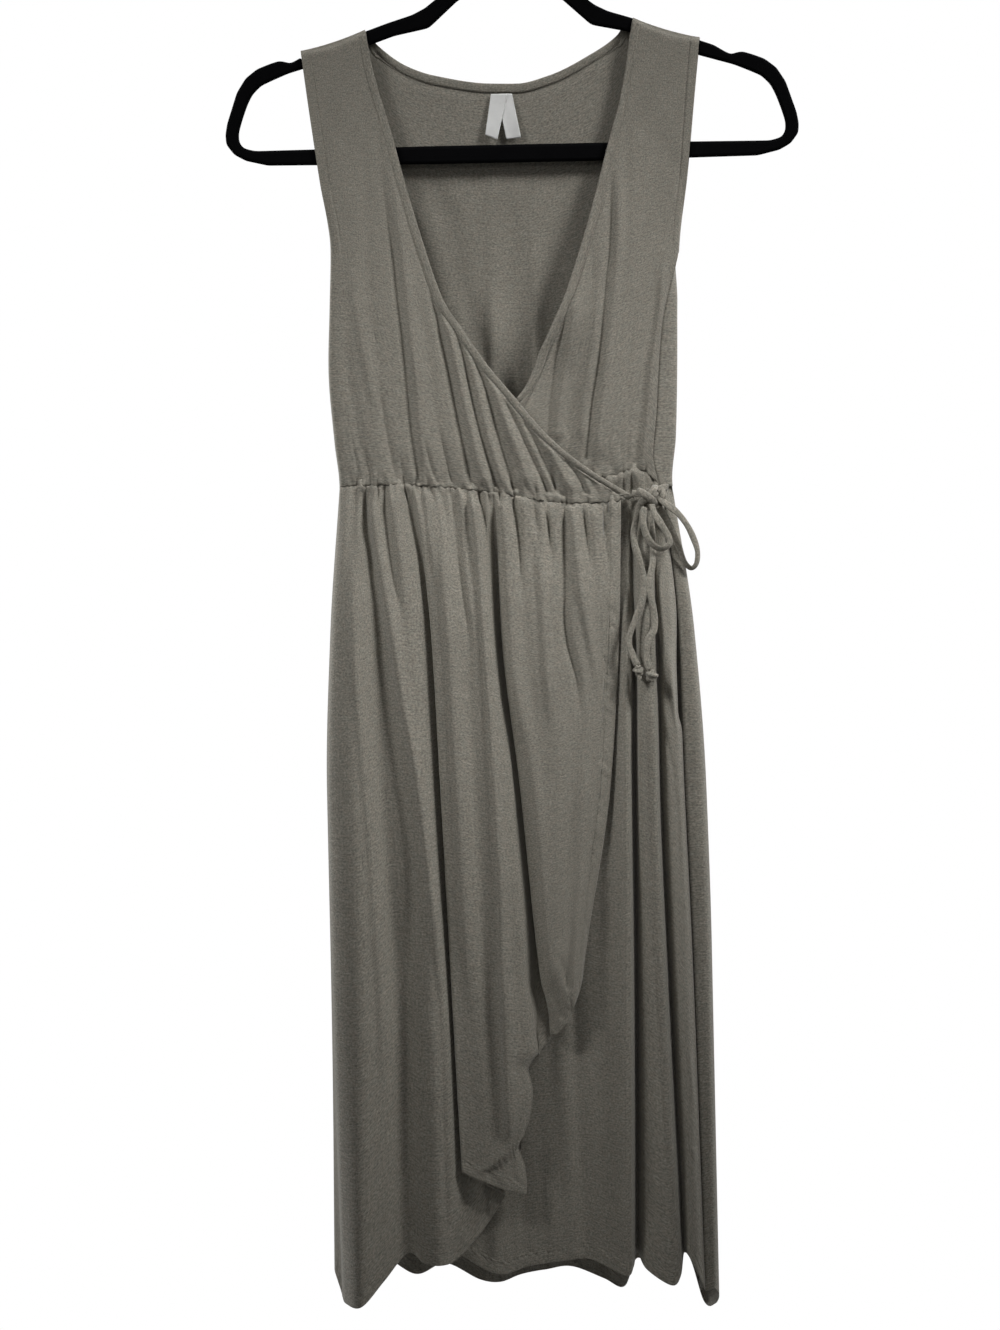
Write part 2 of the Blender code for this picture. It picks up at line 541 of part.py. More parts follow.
# ---------------------------------------------------------------- pieces
def build_panels(cloth, parts):
    cloth_sheet("back_bodice", back_bodice, back_bodice_columns(),
                (0, 0.003, 0.008, 0.018, 0.06, 0.14, 0.25, 0.37, 0.5, 0.64, 0.78, 0.9, 0.96, 1), cloth, parts)
    cloth_sheet("front_bodice_under", under_bodice, even(24),
                (0, 0.003, 0.008, 0.018, 0.07, 0.17, 0.28, 0.4, 0.52, 0.64, 0.76, 0.88, 0.95, 1),
                cloth, parts)
    cloth_sheet("front_bodice_over", over_bodice, even(34),
                (0, 0.003, 0.008, 0.018, 0.07, 0.17, 0.28, 0.4, 0.52, 0.64, 0.76, 0.86, 0.93, 1),
                cloth, parts)
    cloth_sheet("back_skirt", back_skirt, skirt_columns(BACK_SKIRT_LINES, BACK_GATHERS),
                SKIRT_ROWS, cloth, parts)
    cloth_sheet("front_skirt_under", under_skirt, skirt_columns(UNDER_SKIRT_LINES, UNDER_GATHERS),
                SKIRT_ROWS, cloth, parts)
    cloth_sheet("front_skirt_over", over_skirt, skirt_columns(OVER_SKIRT_LINES, OVER_GATHERS),
                SKIRT_ROWS, cloth, parts)


def back_bodice_columns():
    """Shares of the width whose columns meet the strap's inner corners, then run evenly."""
    left, right = LEFT_SHOULDER[0].x, RIGHT_SHOULDER[-1].x
    straps = (LEFT_SHOULDER[1].x, BACK_NECK[0].x, BACK_NECK[-1].x, RIGHT_SHOULDER[0].x)
    inner = [WRAP_START * (x - left) / (right - left) for x in straps]
    return (even(5, 0.0, inner[0]) + even(20, inner[1], inner[2])
            + even(5, inner[3], WRAP_START) + even(4, WRAP_START, 1.0)[1:])


HANGER_HALF = 222.5        # half the hanger's width
HANGER_THICK = 3.0         # half its thickness


def hanger_outlines():
    """Right half of each outline from the neck round to the bar, then mirrored."""
    outer = [(9, -76), (14, -84), (30, -92), (57, -109), (73, -122.5), (95, -126.8), (158, -147.6),
             (166, -152.6), (171, -155), (176, -153.5), (180, -153), (188, -155.5), (197, -159),
             (206, -166), (213, -177), (217, -189), (221, -201), (HANGER_HALF, -209.5),
             (HANGER_HALF - 0.5, -217), (216, -225), (207, -230), (190, -234), (60, -235.5)]
    inner = [(0, -94), (14, -96.5), (40, -109), (63, -130), (90, -135.5), (147, -155.5),
             (173, -163), (185, -168), (194, -172), (201, -179), (205, -187), (209, -198),
             (212, -208), (212, -215), (209, -220), (200, -222.5), (60, -221.5)]
    whole = []
    for half in (outer, inner):
        mirrored = [(-x, z) for x, z in reversed(half) if x > 0]
        whole.append(half + mirrored)
    return whole


def build_hanger(flock, steel, parts):
    flat_plate("hanger_body", hanger_outlines(), HANGER_THICK, 0, flock, parts, round_edge=1.2)
    radius, wire = 22.0, 1.75
    centre_z = wire - radius
    path = [(0, 0, -75.6), (0, 0, -62), (0.4, 0, -53), (3.4, 0, -45.5)]
    for k in range(14):
        angle = radians(mix(-62, 200, k / 13))
        path.append((radius * cos(angle), 0, centre_z + radius * sin(angle)))
    tube("hanger_hook", path, wire, steel, parts)


def band_on(name, point, start, inward, stations, width, mat, parts):
    """A binding on the panel's edge: the panel's own points, moved out along its normal."""
    lift = WALL / 2 + BAND_GAP + BAND_WALL / 2
    step = 0.002

    def panel(s, w):
        u, v = start(s)
        return point(u + inward[0] * w, v + inward[1] * w)

    def band_point(s, w):
        across = (panel(s, step) - panel(s, 0)) / step
        edge = panel(s + step, 0) - panel(s - step, 0)
        reach = width * edge.length / across.cross(edge).length
        at = panel(s, w * reach)
        normal = (panel(s, w * reach + step) - at).cross(panel(s + step, w * reach) - at).normalized()
        if normal.y > 0:
            normal.negate()
        return at + normal * lift
    cloth_sheet(name, band_point, stations, (0, 0.5, 1), mat, parts, wall=BAND_WALL)


def build_bindings(band, parts):
    left, right = LEFT_SHOULDER[0].x, RIGHT_SHOULDER[-1].x

    def back_edge(s):
        return WRAP_START * (mix(-99, 81, s) - left) / (right - left), 0.0
    band_on("neck_binding_over", over_bodice, lambda s: (1.0, s), (-1, 0), even(28, 0.03, 0.965),
            5.5, band, parts)
    band_on("neck_binding_under", under_bodice, lambda s: (0.0, s), (1, 0), even(18, 0.03, 0.7),
            5.5, band, parts)
    band_on("back_neck_binding", back_bodice, back_edge, (0, 1), even(20), 6.5, band, parts)


LABEL_OUTLINE = [(-15.8, -182), (0.5, -182), (6.8, -216.4), (-4.1, -216.6), (-7.7, -204),
                 (-10.3, -214), (-21, -216.8)]
LABEL_HALF = 0.5           # half its thickness, the tape folded double
LABEL_Y = 3.6              # between the hanger and the back


def build_label(tape, parts):
    flat_plate("neck_label", [LABEL_OUTLINE], LABEL_HALF, LABEL_Y, tape, parts)


POCKET_TOP, POCKET_FOOT = 0.13, 0.31     # the opening, as shares of the side seam
BAG_TOP_Z, BAG_FOOT_Z = -560.0, -722.0   # the bag's inner edge
BAG_X, BAG_BOW, BAG_Y = 62.0, 20.0, -2.5


def build_pocket(cloth, parts):
    def bag(s, w):
        edge = under_skirt(len(UNDER_SKIRT_LINES) - 1, mix(POCKET_TOP, POCKET_FOOT, w))
        seam = Vector((edge.x - 1.0, edge.y + 1.9, edge.z))
        inner = Vector((BAG_X + BAG_BOW * (2 * w - 1) ** 2, BAG_Y, mix(BAG_TOP_Z, BAG_FOOT_Z, w)))
        return seam.lerp(inner, s)
    cloth_sheet("pocket_bag", bag, even(5), even(6), cloth, parts)


TIE_RADIUS = 2.2
TIE_ROUTES = {             # points from the knot outwards, in x, y, z
    "tie_lead_over": [(86.6, -14.7, -494.4), (90.5, -15.2, -494.8), (94.8, -15.2, -495.3)],
    "tie_lead_side": [(114.5, -9, -490.5), (110.8, -12.5, -490.6), (106.0, -15, -493.0)],
    "tie_loop_small": [(103.5, -19.5, -502.5), (105.4, -21.5, -508.2), (111.5, -22.5, -517.6),
                       (115.9, -22.5, -527), (115.8, -22.5, -533.3), (111, -22.5, -537.8),
                       (104, -23, -537.7), (98.8, -22.5, -530.6), (96, -21.5, -518),
                       (96.4, -20, -505.7)],
    "tie_loop_large": [(107.2, -16.4, -498.3), (112.5, -18.5, -503.5), (120, -18, -510),
                       (127, -16.5, -517.3), (133, -13.5, -528.3), (136.4, -11, -540),
                       (135.4, -9.5, -548), (131.2, -8.8, -551), (128.2, -8.8, -546.5),
                       (127.6, -9, -537.6), (125, -10, -529), (120.6, -11.5, -520.5),
                       (115.4, -12.6, -512.3), (109.8, -13.3, -505)],
    "tie_end_left": [(93.3, -16, -502.5), (89, -17, -516), (87.2, -18.5, -530), (90.6, -21.5, -545),
                     (94, -24, -560), (92.3, -26, -578.6), (85.2, -27, -596), (81.4, -28, -609.4),
                     (84.4, -28.6, -620), (87.4, -29.4, -627.4)],
    "tie_end_right": [(100.6, -13.5, -503.2), (100.9, -14.8, -515), (101.7, -17.8, -533),
                      (101.5, -21.2, -548), (98.3, -24.6, -566), (101.3, -26, -586),
                      (101.2, -28.4, -599.7), (95.8, -29.4, -609.7), (95, -30.4, -622),
                      (97.2, -31.1, -631.1)],
}
Knot = namedtuple("Knot", "name x y z radius squash")
KNOTS = [
    Knot("tie_knot", 101, -15, -496, 5.6, (1.0, 0.75, 0.8)),
    Knot("tie_knot_left", 88.6, -29.5, -631.6, 4.0, (1, 1, 1)),
    Knot("tie_knot_right", 98.2, -31.2, -635.8, 4.4, (1, 1, 1)),
]
KNOT_RIPPLE = 0.1          # height of the turns of cloth on a knot, as a share of its radius


def build_knot(name, x, y, z, radius, squash, mat, parts):
    bm = bmesh.new()
    bmesh.ops.create_uvsphere(bm, u_segments=12, v_segments=8, radius=radius * MM)
    for vert in bm.verts:
        turn = (3 * pi * vert.co.z + 2 * vert.co.x) / (radius * MM)
        out = 1 + KNOT_RIPPLE * sin(turn)
        vert.co = Vector((vert.co.x * squash[0] * out, vert.co.y * squash[1] * out,
                          vert.co.z * squash[2]))
    mesh = bpy.data.meshes.new(name)
    bm.to_mesh(mesh)
    bm.free()
    mesh.shade_smooth()
    obj = add_object(name, mesh, mat, parts)
    obj.location = (x * MM, y * MM, z * MM)


def build_ties(cloth, parts):
    for name, route in TIE_ROUTES.items():
        tube(name, route, TIE_RADIUS, cloth, parts)
    for k in KNOTS:
        build_knot(*k, cloth, parts)


def main():
    clear_scene()
    parts = bpy.data.collections.new("wrap dress on a hanger")
    bpy.context.scene.collection.children.link(parts)
    cloth = material("jersey", CLOTH, 0.85)
    band = material("binding", BAND, 0.85)
    tape = material("label tape", TAPE, 0.7)
    flock = material("flock", FLOCK, 0.95)
    steel = material("steel", STEEL, 0.3, 1.0)
    build_panels(cloth, parts)
    build_bindings(band, parts)
    build_label(tape, parts)
    build_pocket(cloth, parts)
    build_ties(cloth, parts)
    build_hanger(flock, steel, parts)


main()
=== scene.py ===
"""Sleeveless wrap dress in heathered slub jersey on a slim velvet hanger.

Tables are in millimetres in the CAD frame: the dress faces -Y, the hook's bearing point is the origin.
Blender's own units are metres.
"""
import json
from collections import namedtuple
from math import cos, pi, radians, sin

import bmesh
import bpy
import numpy as np
from mathutils import Matrix, Vector

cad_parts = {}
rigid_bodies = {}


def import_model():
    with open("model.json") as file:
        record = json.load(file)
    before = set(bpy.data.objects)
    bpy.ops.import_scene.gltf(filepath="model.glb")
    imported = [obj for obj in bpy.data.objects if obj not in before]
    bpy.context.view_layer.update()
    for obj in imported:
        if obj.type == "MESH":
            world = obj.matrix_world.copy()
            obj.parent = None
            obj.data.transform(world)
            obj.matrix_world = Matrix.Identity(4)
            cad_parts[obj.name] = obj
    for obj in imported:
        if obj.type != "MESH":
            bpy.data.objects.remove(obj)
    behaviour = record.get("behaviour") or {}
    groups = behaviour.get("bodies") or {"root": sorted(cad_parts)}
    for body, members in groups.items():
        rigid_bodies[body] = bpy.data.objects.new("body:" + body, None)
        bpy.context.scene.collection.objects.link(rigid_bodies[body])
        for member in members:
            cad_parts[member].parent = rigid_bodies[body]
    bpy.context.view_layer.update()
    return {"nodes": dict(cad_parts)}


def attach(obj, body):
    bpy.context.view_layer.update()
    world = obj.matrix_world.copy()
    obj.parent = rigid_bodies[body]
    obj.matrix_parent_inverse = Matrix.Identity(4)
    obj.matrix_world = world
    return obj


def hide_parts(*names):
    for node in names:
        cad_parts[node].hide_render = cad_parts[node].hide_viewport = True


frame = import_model()

MM = 0.001
SHELL = 0.8                # thickness of the shown cloth
SIDE_EDGE = 0.6            # where a panel's middle lies at a side seam, half a wall in front of y 0
WAIST_GAP = 0.6            # between bodice and skirt
ARMHOLE_STRIP = 4.0        # how far the back's armhole edge lies inside the front's at the right
WRAP_START = 0.93          # the back's share of its width; the rest comes forward to the right side seam
WAIST_Z, BACK_WAIST_Z = -487.0, -489.0
HIP_Z, THIGH_Z, KNEE_Z = -600.0, -720.0, -850.0    # the skirt tables' levels
UNDERARM_Z = -306.0
OVER_WAIST_HALF, UNDER_WAIST_HALF, BACK_WAIST_HALF = 14.0, 7.0, 12.0    # half depths at the waist
SECTION_POWER = 2.6        # how square the flat ovals across the dress are
SHOULDER_ROLL = 4.6        # half depth of the cloth over the hanger
SIDE_FADE = 12             # over which folds die out beside a side seam
BODICE_SEEDS, SKIRT_SEEDS = (11, 12, 13), (21, 22, 23)    # over, under and back
LABEL_SEED, BAG_SEED, TIE_SEED, TURN_SEED, TAIL_SEED, BAND_SEED = 70, 75, 60, 80, 85, 90


# ---------------------------------------------------------------- readers of the tables
def traced(text):
    """Points from words that are numbers joined by colons."""
    return [tuple(map(float, word.split(":"))) for word in text.split()]


def outline(text):
    return [Edge(*point) for point in traced(text)]


def named_rows(kind, text):
    """One row a line: a name, then its numbers in the order of the kind's fields."""
    return [kind(name, *map(float, numbers)) for name, *numbers in map(str.split, text.strip().splitlines())]


def fold_table(text):
    """Each fold's name, width, height, fade_top and fade_foot, then its path's x:z points; rows may be broken."""
    rows = []
    for word in text.split():
        if word[0].isalpha():
            rows.append([])
        rows[-1].append(word)
    return [Fold(row[0], *map(float, row[1:5]), traced(" ".join(row[5:]))) for row in rows]


# ---------------------------------------------------------------- tables
Section = namedtuple("Section", "z left right front back")
SECTIONS = [               # silhouette and half depths of the closed bodice
    Section(-140, -163.5, 147.0, 4.6, 4.6),
    Section(-187, -158.0, 141.7, 5.2, 5.2),
    Section(-248, -150.0, 135.0, 8.0, 7.0),
    Section(-300, -142.5, 127.8, 11.0, 9.5),
    Section(-342, -144.0, 125.2, 13.0, 11.5),
    Section(-394, -146.0, 124.0, 14.5, 13.0),
    Section(-450, -142.5, 121.8, 15.0, 13.0),
    Section(-484, -139.3, 118.2, 14.0, 12.0),
    Section(-500, -140.5, 119.6, 14.0, 12.0),
]

Edge = namedtuple("Edge", "x z")
OVER_NECK = outline("-112.5:-130.3 -107:-163.8 -94.7:-208.3 -84:-250.4 -70.3:-299.6 -57.1:-339.5 -42.9:-363.1 "
                    "-23.3:-392.2 -2.9:-417.4 17.6:-442.7 38.1:-462.5 58.7:-476.9 78.7:-488.2 89.4:-494.7")
UNDER_NECK = outline("95.6:-125.2 85.9:-181 74.1:-223.5 56.5:-286 40.8:-333 31.8:-353.7 18.9:-380.6 0.2:-417.5 "
                     "-52:-452 -112:-485")
BACK_NECK = outline("-110.5:-131.5 -102.7:-142.9 -80.5:-159.7 -59.7:-167.1 -15.6:-174.2 6.9:-174.7 32.6:-169 "
                    "65.5:-153.4 86.8:-138.3 93.8:-126.5")
LEFT_SHOULDER = outline("-163.8:-145.6 -112.5:-130.3")
RIGHT_SHOULDER = outline("95.6:-125.2 147.1:-141.4")
OVER_WAIST = outline("-139.3:-484.4 -97.4:-483.6 -66.4:-485.6 -20.7:-491.2 26.5:-499.8 68.3:-500.6 89.4:-497.5")
UNDER_WAIST = outline("-113:-485 -20:-486 65.6:-481 85.2:-476 98.3:-478 109:-489.6")
RIGHT_SEAM = outline("126.6:-306 112.3:-368 107:-434.5 104:-466 109:-489.6")

Line = namedtuple("Line", "name waist_x hip_x thigh_x knee_x hem_x hem_z hip_y knee_y hem_y")
OVER_SKIRT_LINES = named_rows(Line, """
side_seam -139.3   -149   -154 -153.8 -150.4   -1112  -0.6  -0.6  -0.6
side_roll   -136 -145.6 -150.4   -150 -147.6   -1118   -12   -14   -15
ridge_a     -124   -131   -134   -133   -136   -1121   -20   -27   -30
slope_a     -115   -121   -121   -117   -118   -1101   -18   -23   -22
valley_a    -107   -111   -108   -102    -99 -1079.5   -16   -16   -14
slope_b      -98    -99    -93    -87    -86   -1088   -20   -24   -24
ridge_b      -93    -87    -80    -75    -73   -1090   -21   -29   -32
fall_b       -90    -77    -71  -66.5    -61   -1085   -17   -21   -24
under_b      -87  -70.5  -63.5    -56    -43   -1066 -12.5 -13.5   -20
tuck_b     -85.4  -67.5    -60  -51.5    -27   -1044 -12.2 -13.5 -21.5
turn_b     -84.2  -66.4  -58.3  -48.6    -23   -1037 -13.2 -15.6   -24
turn_c     -83.1  -66.6    -59    -50  -25.5 -1034.5 -15.2   -18 -26.5
return_c   -81.9  -67.8  -61.2  -53.7    -40 -1026.5 -17.8 -20.4   -27
edge_c       -80  -70.6    -66  -61.5  -55.8   -1018   -21   -24   -28
rise_c       -70    -60    -54    -48    -42 -1024.5   -24   -29 -29.5
crown_c      -52    -42    -35  -25.2    -25 -1031.5 -25.5 -32.5 -32.5
ridge_c      -35    -28    -18   -8.8    -12   -1035   -22 -29.5 -31.5
corner_c     -28    -22  -10.6   -2.8   -6.2 -1034.5 -16.5 -22.5   -29
flap_edge  -27.4  -21.2   -9.8   -1.6   -5.8 -1014.3 -15.4 -20.6   -28
corner_b   -26.9  -20.4     -9   -0.4   -5.4 -1001.7 -14.6 -19.2 -27.5
wave_low   -26.3  -19.6     -8    0.8   -4.6  -975.6   -14 -17.8 -26.5
wave_high  -25.7  -18.7     -7      2     -4  -958.6 -13.3 -16.6 -25.8
wave_in    -25.1  -17.9   -5.8    3.4   -3.4  -939.8 -12.7 -15.4   -25
point_b    -24.5    -17   -4.4    5.1   -1.8  -925.9 -12.1 -14.2   -24
under_d    -23.2    -15   -1.8    8.4    5.2    -919 -11.8 -13.6   -22
turn_d     -21.5  -11.8    1.6   12.3    9.6    -914   -12 -13.8 -19.5
return_d   -19.4    -13   -0.4   10.1   10.2    -912 -15.5   -18 -23.5
edge_d     -17.5  -15.8   -4.2    6.5   14.9  -912.5   -18 -22.5   -27
rise_d        -5     -3      7     15   18.8    -909   -23   -28   -30
crown_d       16     16     24     25     26    -902   -25   -33   -33
ridge_d       45     46     46     36     34    -889   -25   -31   -32
slope_d       63     62     57   40.5   37.8    -880   -23   -27   -29
free_edge   78.5   74.8   65.6   43.4   40.4    -871   -20   -24   -25
""")
UNDER_SKIRT_LINES = named_rows(Line, """
free_edge  -113  -107   -99   -90   -76   -1008  -7.6  -8.6    -9
corner      -98   -92   -84   -78   -64   -1070  -7.6  -8.8   -10
hem_start   -78   -74   -70   -66   -50   -1087  -7.8    -9   -11
crown_a     -48   -48   -48   -44   -27 -1097.5  -7.8    -9 -12.5
slope_a     -10   -10   -10   -10    -5 -1091.5  -7.8   -10   -13
slope_b      22    20    19    19    24   -1088  -7.8   -11   -16
valley_b     45    42    39    38    42   -1087    -8   -13   -16
rise_b       62    66    65    60    60   -1096    -9   -18   -25
ridge_b      78  79.6  77.5  75.5  71.5   -1101   -14   -27   -31
fall_b     82.5  83.2  81.3    80  75.5   -1094   -13   -21   -25
groove_b     86  86.2  84.6  83.4    79   -1082  -8.5   -10   -12
rise_c     90.2  91.2  88.6  87.8    86   -1096 -20.5 -25.5   -26
ridge_c    96.6  99.4  98.8 100.8   105   -1109   -24   -29   -30
fall_c     99.3 102.4 102.4 105.2 111.9   -1102   -20   -24   -25
groove_c  101.6 104.7   105 107.8 114.8   -1084 -12.5   -14   -14
rise_d    104.6 108.6 109.4 112.4 118.6   -1086   -20   -24   -23
ridge_d   107.9 114.8 116.8 120.2 125.4   -1100   -20 -22.5   -21
side_seam 110.2 120.2 122.6 126.2 130.6   -1113 -12.5 -14.5   -14
""")
BACK_SKIRT_LINES = named_rows(Line, """
left_seam -139.3  -149   -154 -153.8 -150.4   -1112   0.6   0.6   0.6
left_roll -136.2  -147 -152.2 -152.4 -155.8   -1090    10    12    13
ridge_a     -124  -136   -139   -139   -143   -1098    21    27    30
valley_a    -110  -117   -118   -117   -119   -1083    15    15    13
ridge_b      -94   -98    -97    -95    -93   -1096    22    31    34
valley_b     -75   -76    -75    -73    -70   -1088    15    16    15
ridge_c      -54   -54    -51    -48    -44   -1101    23    34    38
slope_c      -42   -42    -38    -35    -28 -1103.5    20    27    30
valley_c     -30   -30    -26    -22    -12   -1098    15    18    18
ridge_d       -8    -6     -2      2      8 -1094.5    24    36    40
valley_d      14    16     19     22     28 -1092.5    15    18    18
ridge_e       34    37     41     45     52   -1102    23    34    38
slope_e       46    50     54     58     68   -1109    19    26    29
valley_e      56    62     67     70     79   -1087    15    16    15
ridge_f       75    84     90     93     98   -1101    22    30    33
valley_f      92   103    110    113    117   -1084    15    16    15
ridge_g      106   119    127    130    130   -1122    16    22    22
right_roll 114.5   129  136.6  138.8    138   -1124     9    11    11
right_side 118.2 132.8  139.6  141.3  141.4   -1118     0     0     0
front_roll 115.4   130  135.6  137.4  138.4   -1112  -7.5   -10   -10
right_seam 111.4 121.4  123.8  127.4  131.8   -1114 -10.8 -12.8 -12.4
""")

OVER_GATHERS = (-127.7, -118.4, -106, -87.4, -73, -60.2, -50.9, -40.9, -30.8, -17.7,
                -1.4, 12.5, 21.8, 35.8, 49.8, 65.3)
UNDER_GATHERS = (-90, -66, -42, -18, 6, 30, 52, 68, 86, 102)
BACK_GATHERS = (-127, -112, -99, -86, -74, -61, -49, -36, -24, -11, 1, 13, 25, 38, 51, 64, 78, 92)
GATHER_DEPTH = 1.7         # half the height between a gather's ridge and its valley, on the skirt
FRONT_GATHER, BACK_GATHER = 0.35 * GATHER_DEPTH, 0.6 * GATHER_DEPTH    # the same above the waist
GATHER_REACH = 62.0        # how far down the skirt a gather runs
GATHER_HALF = 6.0          # from the outermost valleys to the flat cloth beside them
Fold = namedtuple("Fold", "name width height fade_top fade_foot path")
OVER_FOLDS = fold_table("""
a_line 2.2 -1.6 10 30 -123:-484 -119.5:-503 -116.9:-526 -114.5:-557
a_valley 4.2 -3.2 20 90 -122.3:-487 -116.9:-526 -113.1:-565 -109.2:-604 -105.4:-643 -101.5:-682 -97.5:-713 -93.5:-744
  -90.3:-775 -89.7:-822 -92.3:-868
a_low 9 -2.6 120 90 -90.3:-775 -92.4:-837 -94.5:-899 -96.5:-961 -96.6:-1039
b_crest 4.6 3.2 30 40 -115.5:-495 -112.3:-526 -108.3:-557 -103.5:-588 -98.7:-620 -94.7:-651 -89.1:-682 -83.7:-721
  -79.1:-760 -75.3:-799 -71.4:-837 -68.4:-876 -66.1:-915 -65.5:-962 -64.9:-1008 -64.5:-1063
left_crest 5 1.3 60 60 -131.2:-541 -131:-603 -127.6:-666 -123.5:-728 -120.6:-774 -118.6:-829 -115.9:-883 -114.8:-945
c_valley 2 -2.4 6 50 -105.2:-484 -103.4:-511 -101:-542 -96.9:-569 -93.4:-589
c_crest 4 1.2 10 50 -99.8:-488 -96.6:-519 -93.2:-542 -89.2:-573
gap_b 2.6 -2.2 6 300 -87.4:-486 -83.8:-503 -81.1:-519 -78.3:-535 -75.7:-558 -73.1:-581 -71.4:-612
d_crest 3.2 1.6 8 60 -73.4:-488 -71.6:-511 -69:-535 -65:-566
d_nick 1.6 -1.5 6 30 -68:-486 -64.5:-504 -62.5:-523 -61.4:-543
d_crest_b 5 2.2 60 120 -62.3:-512 -59.7:-574 -56.8:-620 -55.5:-667 -53.5:-721 -51.5:-776 -49.6:-830 -46.8:-885
e_valley 2.6 -3 6 60 -54.8:-486 -52.8:-504 -50.2:-527 -47.6:-551 -45:-574 -42.4:-597 -41.3:-621
e_low 6 -3.2 60 100 -44.7:-597 -43.9:-636 -42.3:-667 -40.1:-714 -37.2:-761 -35.1:-807 -32.4:-862 -29.6:-916 -29:-963
e_nick 1.4 -1.3 6 24 -41.6:-488 -38.9:-506 -35.5:-528 -34.1:-539
e_nick_b 1.4 -1.3 6 20 -33.1:-490 -28.8:-508 -26.8:-524
f_crest 4.6 3.4 14 40 -38.7:-495 -35.3:-520 -32.7:-543 -31:-574 -29.3:-605 -27.6:-637 -26:-668 -24.5:-707 -22.9:-745
  -21.4:-784 -20.7:-823 -20.9:-870 -20.3:-916 -19.6:-955 -19.6:-994
gap_c 2.8 -2.4 6 200 -23.8:-491 -21.1:-509 -19.5:-544 -19.4:-575 -17.8:-614 -16.2:-645
g_crest 4.4 2.4 10 70 -15.4:-497 -12.2:-528 -11.3:-559 -10.4:-590 -9.5:-621 -6.2:-653 -0.7:-684
g_valley 2.2 -2.4 6 40 -6.8:-496 -4.1:-513 -1.4:-532 -1.1:-553 0.1:-572
g_low 5 -1.6 50 80 0.1:-572 1.7:-606 4.9:-637 10.3:-676 15.7:-715
h_crest 4.5 1.6 30 60 9.1:-513 13.1:-544 15.5:-575 17.1:-614 19.4:-653 21.2:-676
h_nick 1.9 -2.2 6 30 18:-497 20.7:-513 23.4:-535 24.6:-552
i_valley 2.6 -3.4 6 40 33.5:-499 33.8:-521 34:-545 33.6:-568 32.4:-585 34.3:-607 38.6:-624 42.1:-642 42.4:-665
i_low 6 -1.5 40 60 41.9:-654 42.8:-685 40.4:-723 35.9:-754
i_crest 4.2 2 8 60 38.8:-501 40.7:-522 43.4:-545 46:-568 49.4:-588 53.5:-615 57.5:-646
j_nick 1.8 -1.8 6 30 48.2:-499 50.1:-518 52:-537 54:-554
j_crest 3.4 1 10 40 55.9:-503 58.4:-530 59.3:-561
k_valley 2.6 -2 6 40 63.7:-500 66.4:-518 68.3:-538 70.2:-561 71.4:-578
edge_crest 3 1.6 10 40 73:-502 74.7:-530 75.6:-561 75.7:-592 76.6:-623
flap_crest 5 2.2 60 20 -19:-854 -17.7:-901 -17.1:-947 -17.3:-994
panel_crest 5 1.8 60 20 5.2:-699 8.9:-746 11.8:-793 14.7:-839 17.1:-874
panel_low 3.4 -1.5 50 30 37.5:-716 33.5:-754 29.6:-793 26.5:-832 24.4:-855
c_soft 7 -1.6 60 50 40.2:-731 37.1:-770 32.4:-809
c_corner 6 1.8 40 20 45.5:-778 41.4:-824 35.1:-863 27.5:-894
pucker_a 2.6 -1 12 12 22.2:-851 28.1:-867 33.2:-880
pucker_b 2.2 -0.9 12 12 14.7:-874 19.9:-888 22.7:-900
""")
UNDER_FOLDS = fold_table("""
b_crest 3.4 1.8 40 60 80.7:-577 79.1:-654 78.2:-732 76.6:-810 75:-887 73.4:-965 71.1:-1073
flat 13 -0.8 70 60 57.5:-794 56.2:-856 53.1:-933 51.4:-1011 50.1:-1073
c_crest 3.6 1.8 40 60 99.3:-655 100:-732 100.7:-810 102.9:-888 105.2:-965 108.2:-1043
c_foot 3.2 -1.4 60 40 89.7:-779 88.8:-856 88.8:-934 88.7:-1012 88.9:-1074
d_crest 3.6 2.4 30 40 104.6:-546 105.5:-577 106.7:-597 109.5:-612 112.2:-628 115:-643 117.8:-661 119.7:-678 121.4:-710
  122.3:-741 123:-779 124.4:-826 126.8:-857 129.9:-896
d_line 1.4 -1 20 30 106.1:-664 110.9:-690 115.1:-713 117.5:-748 118.2:-787
e_crest 2.6 1.6 30 40 122.3:-927 126.1:-966 130.1:-997 134.7:-1036
e_wrinkle 2.4 1.2 8 8 118.4:-1001 123:-1005 127.5:-1012
""")
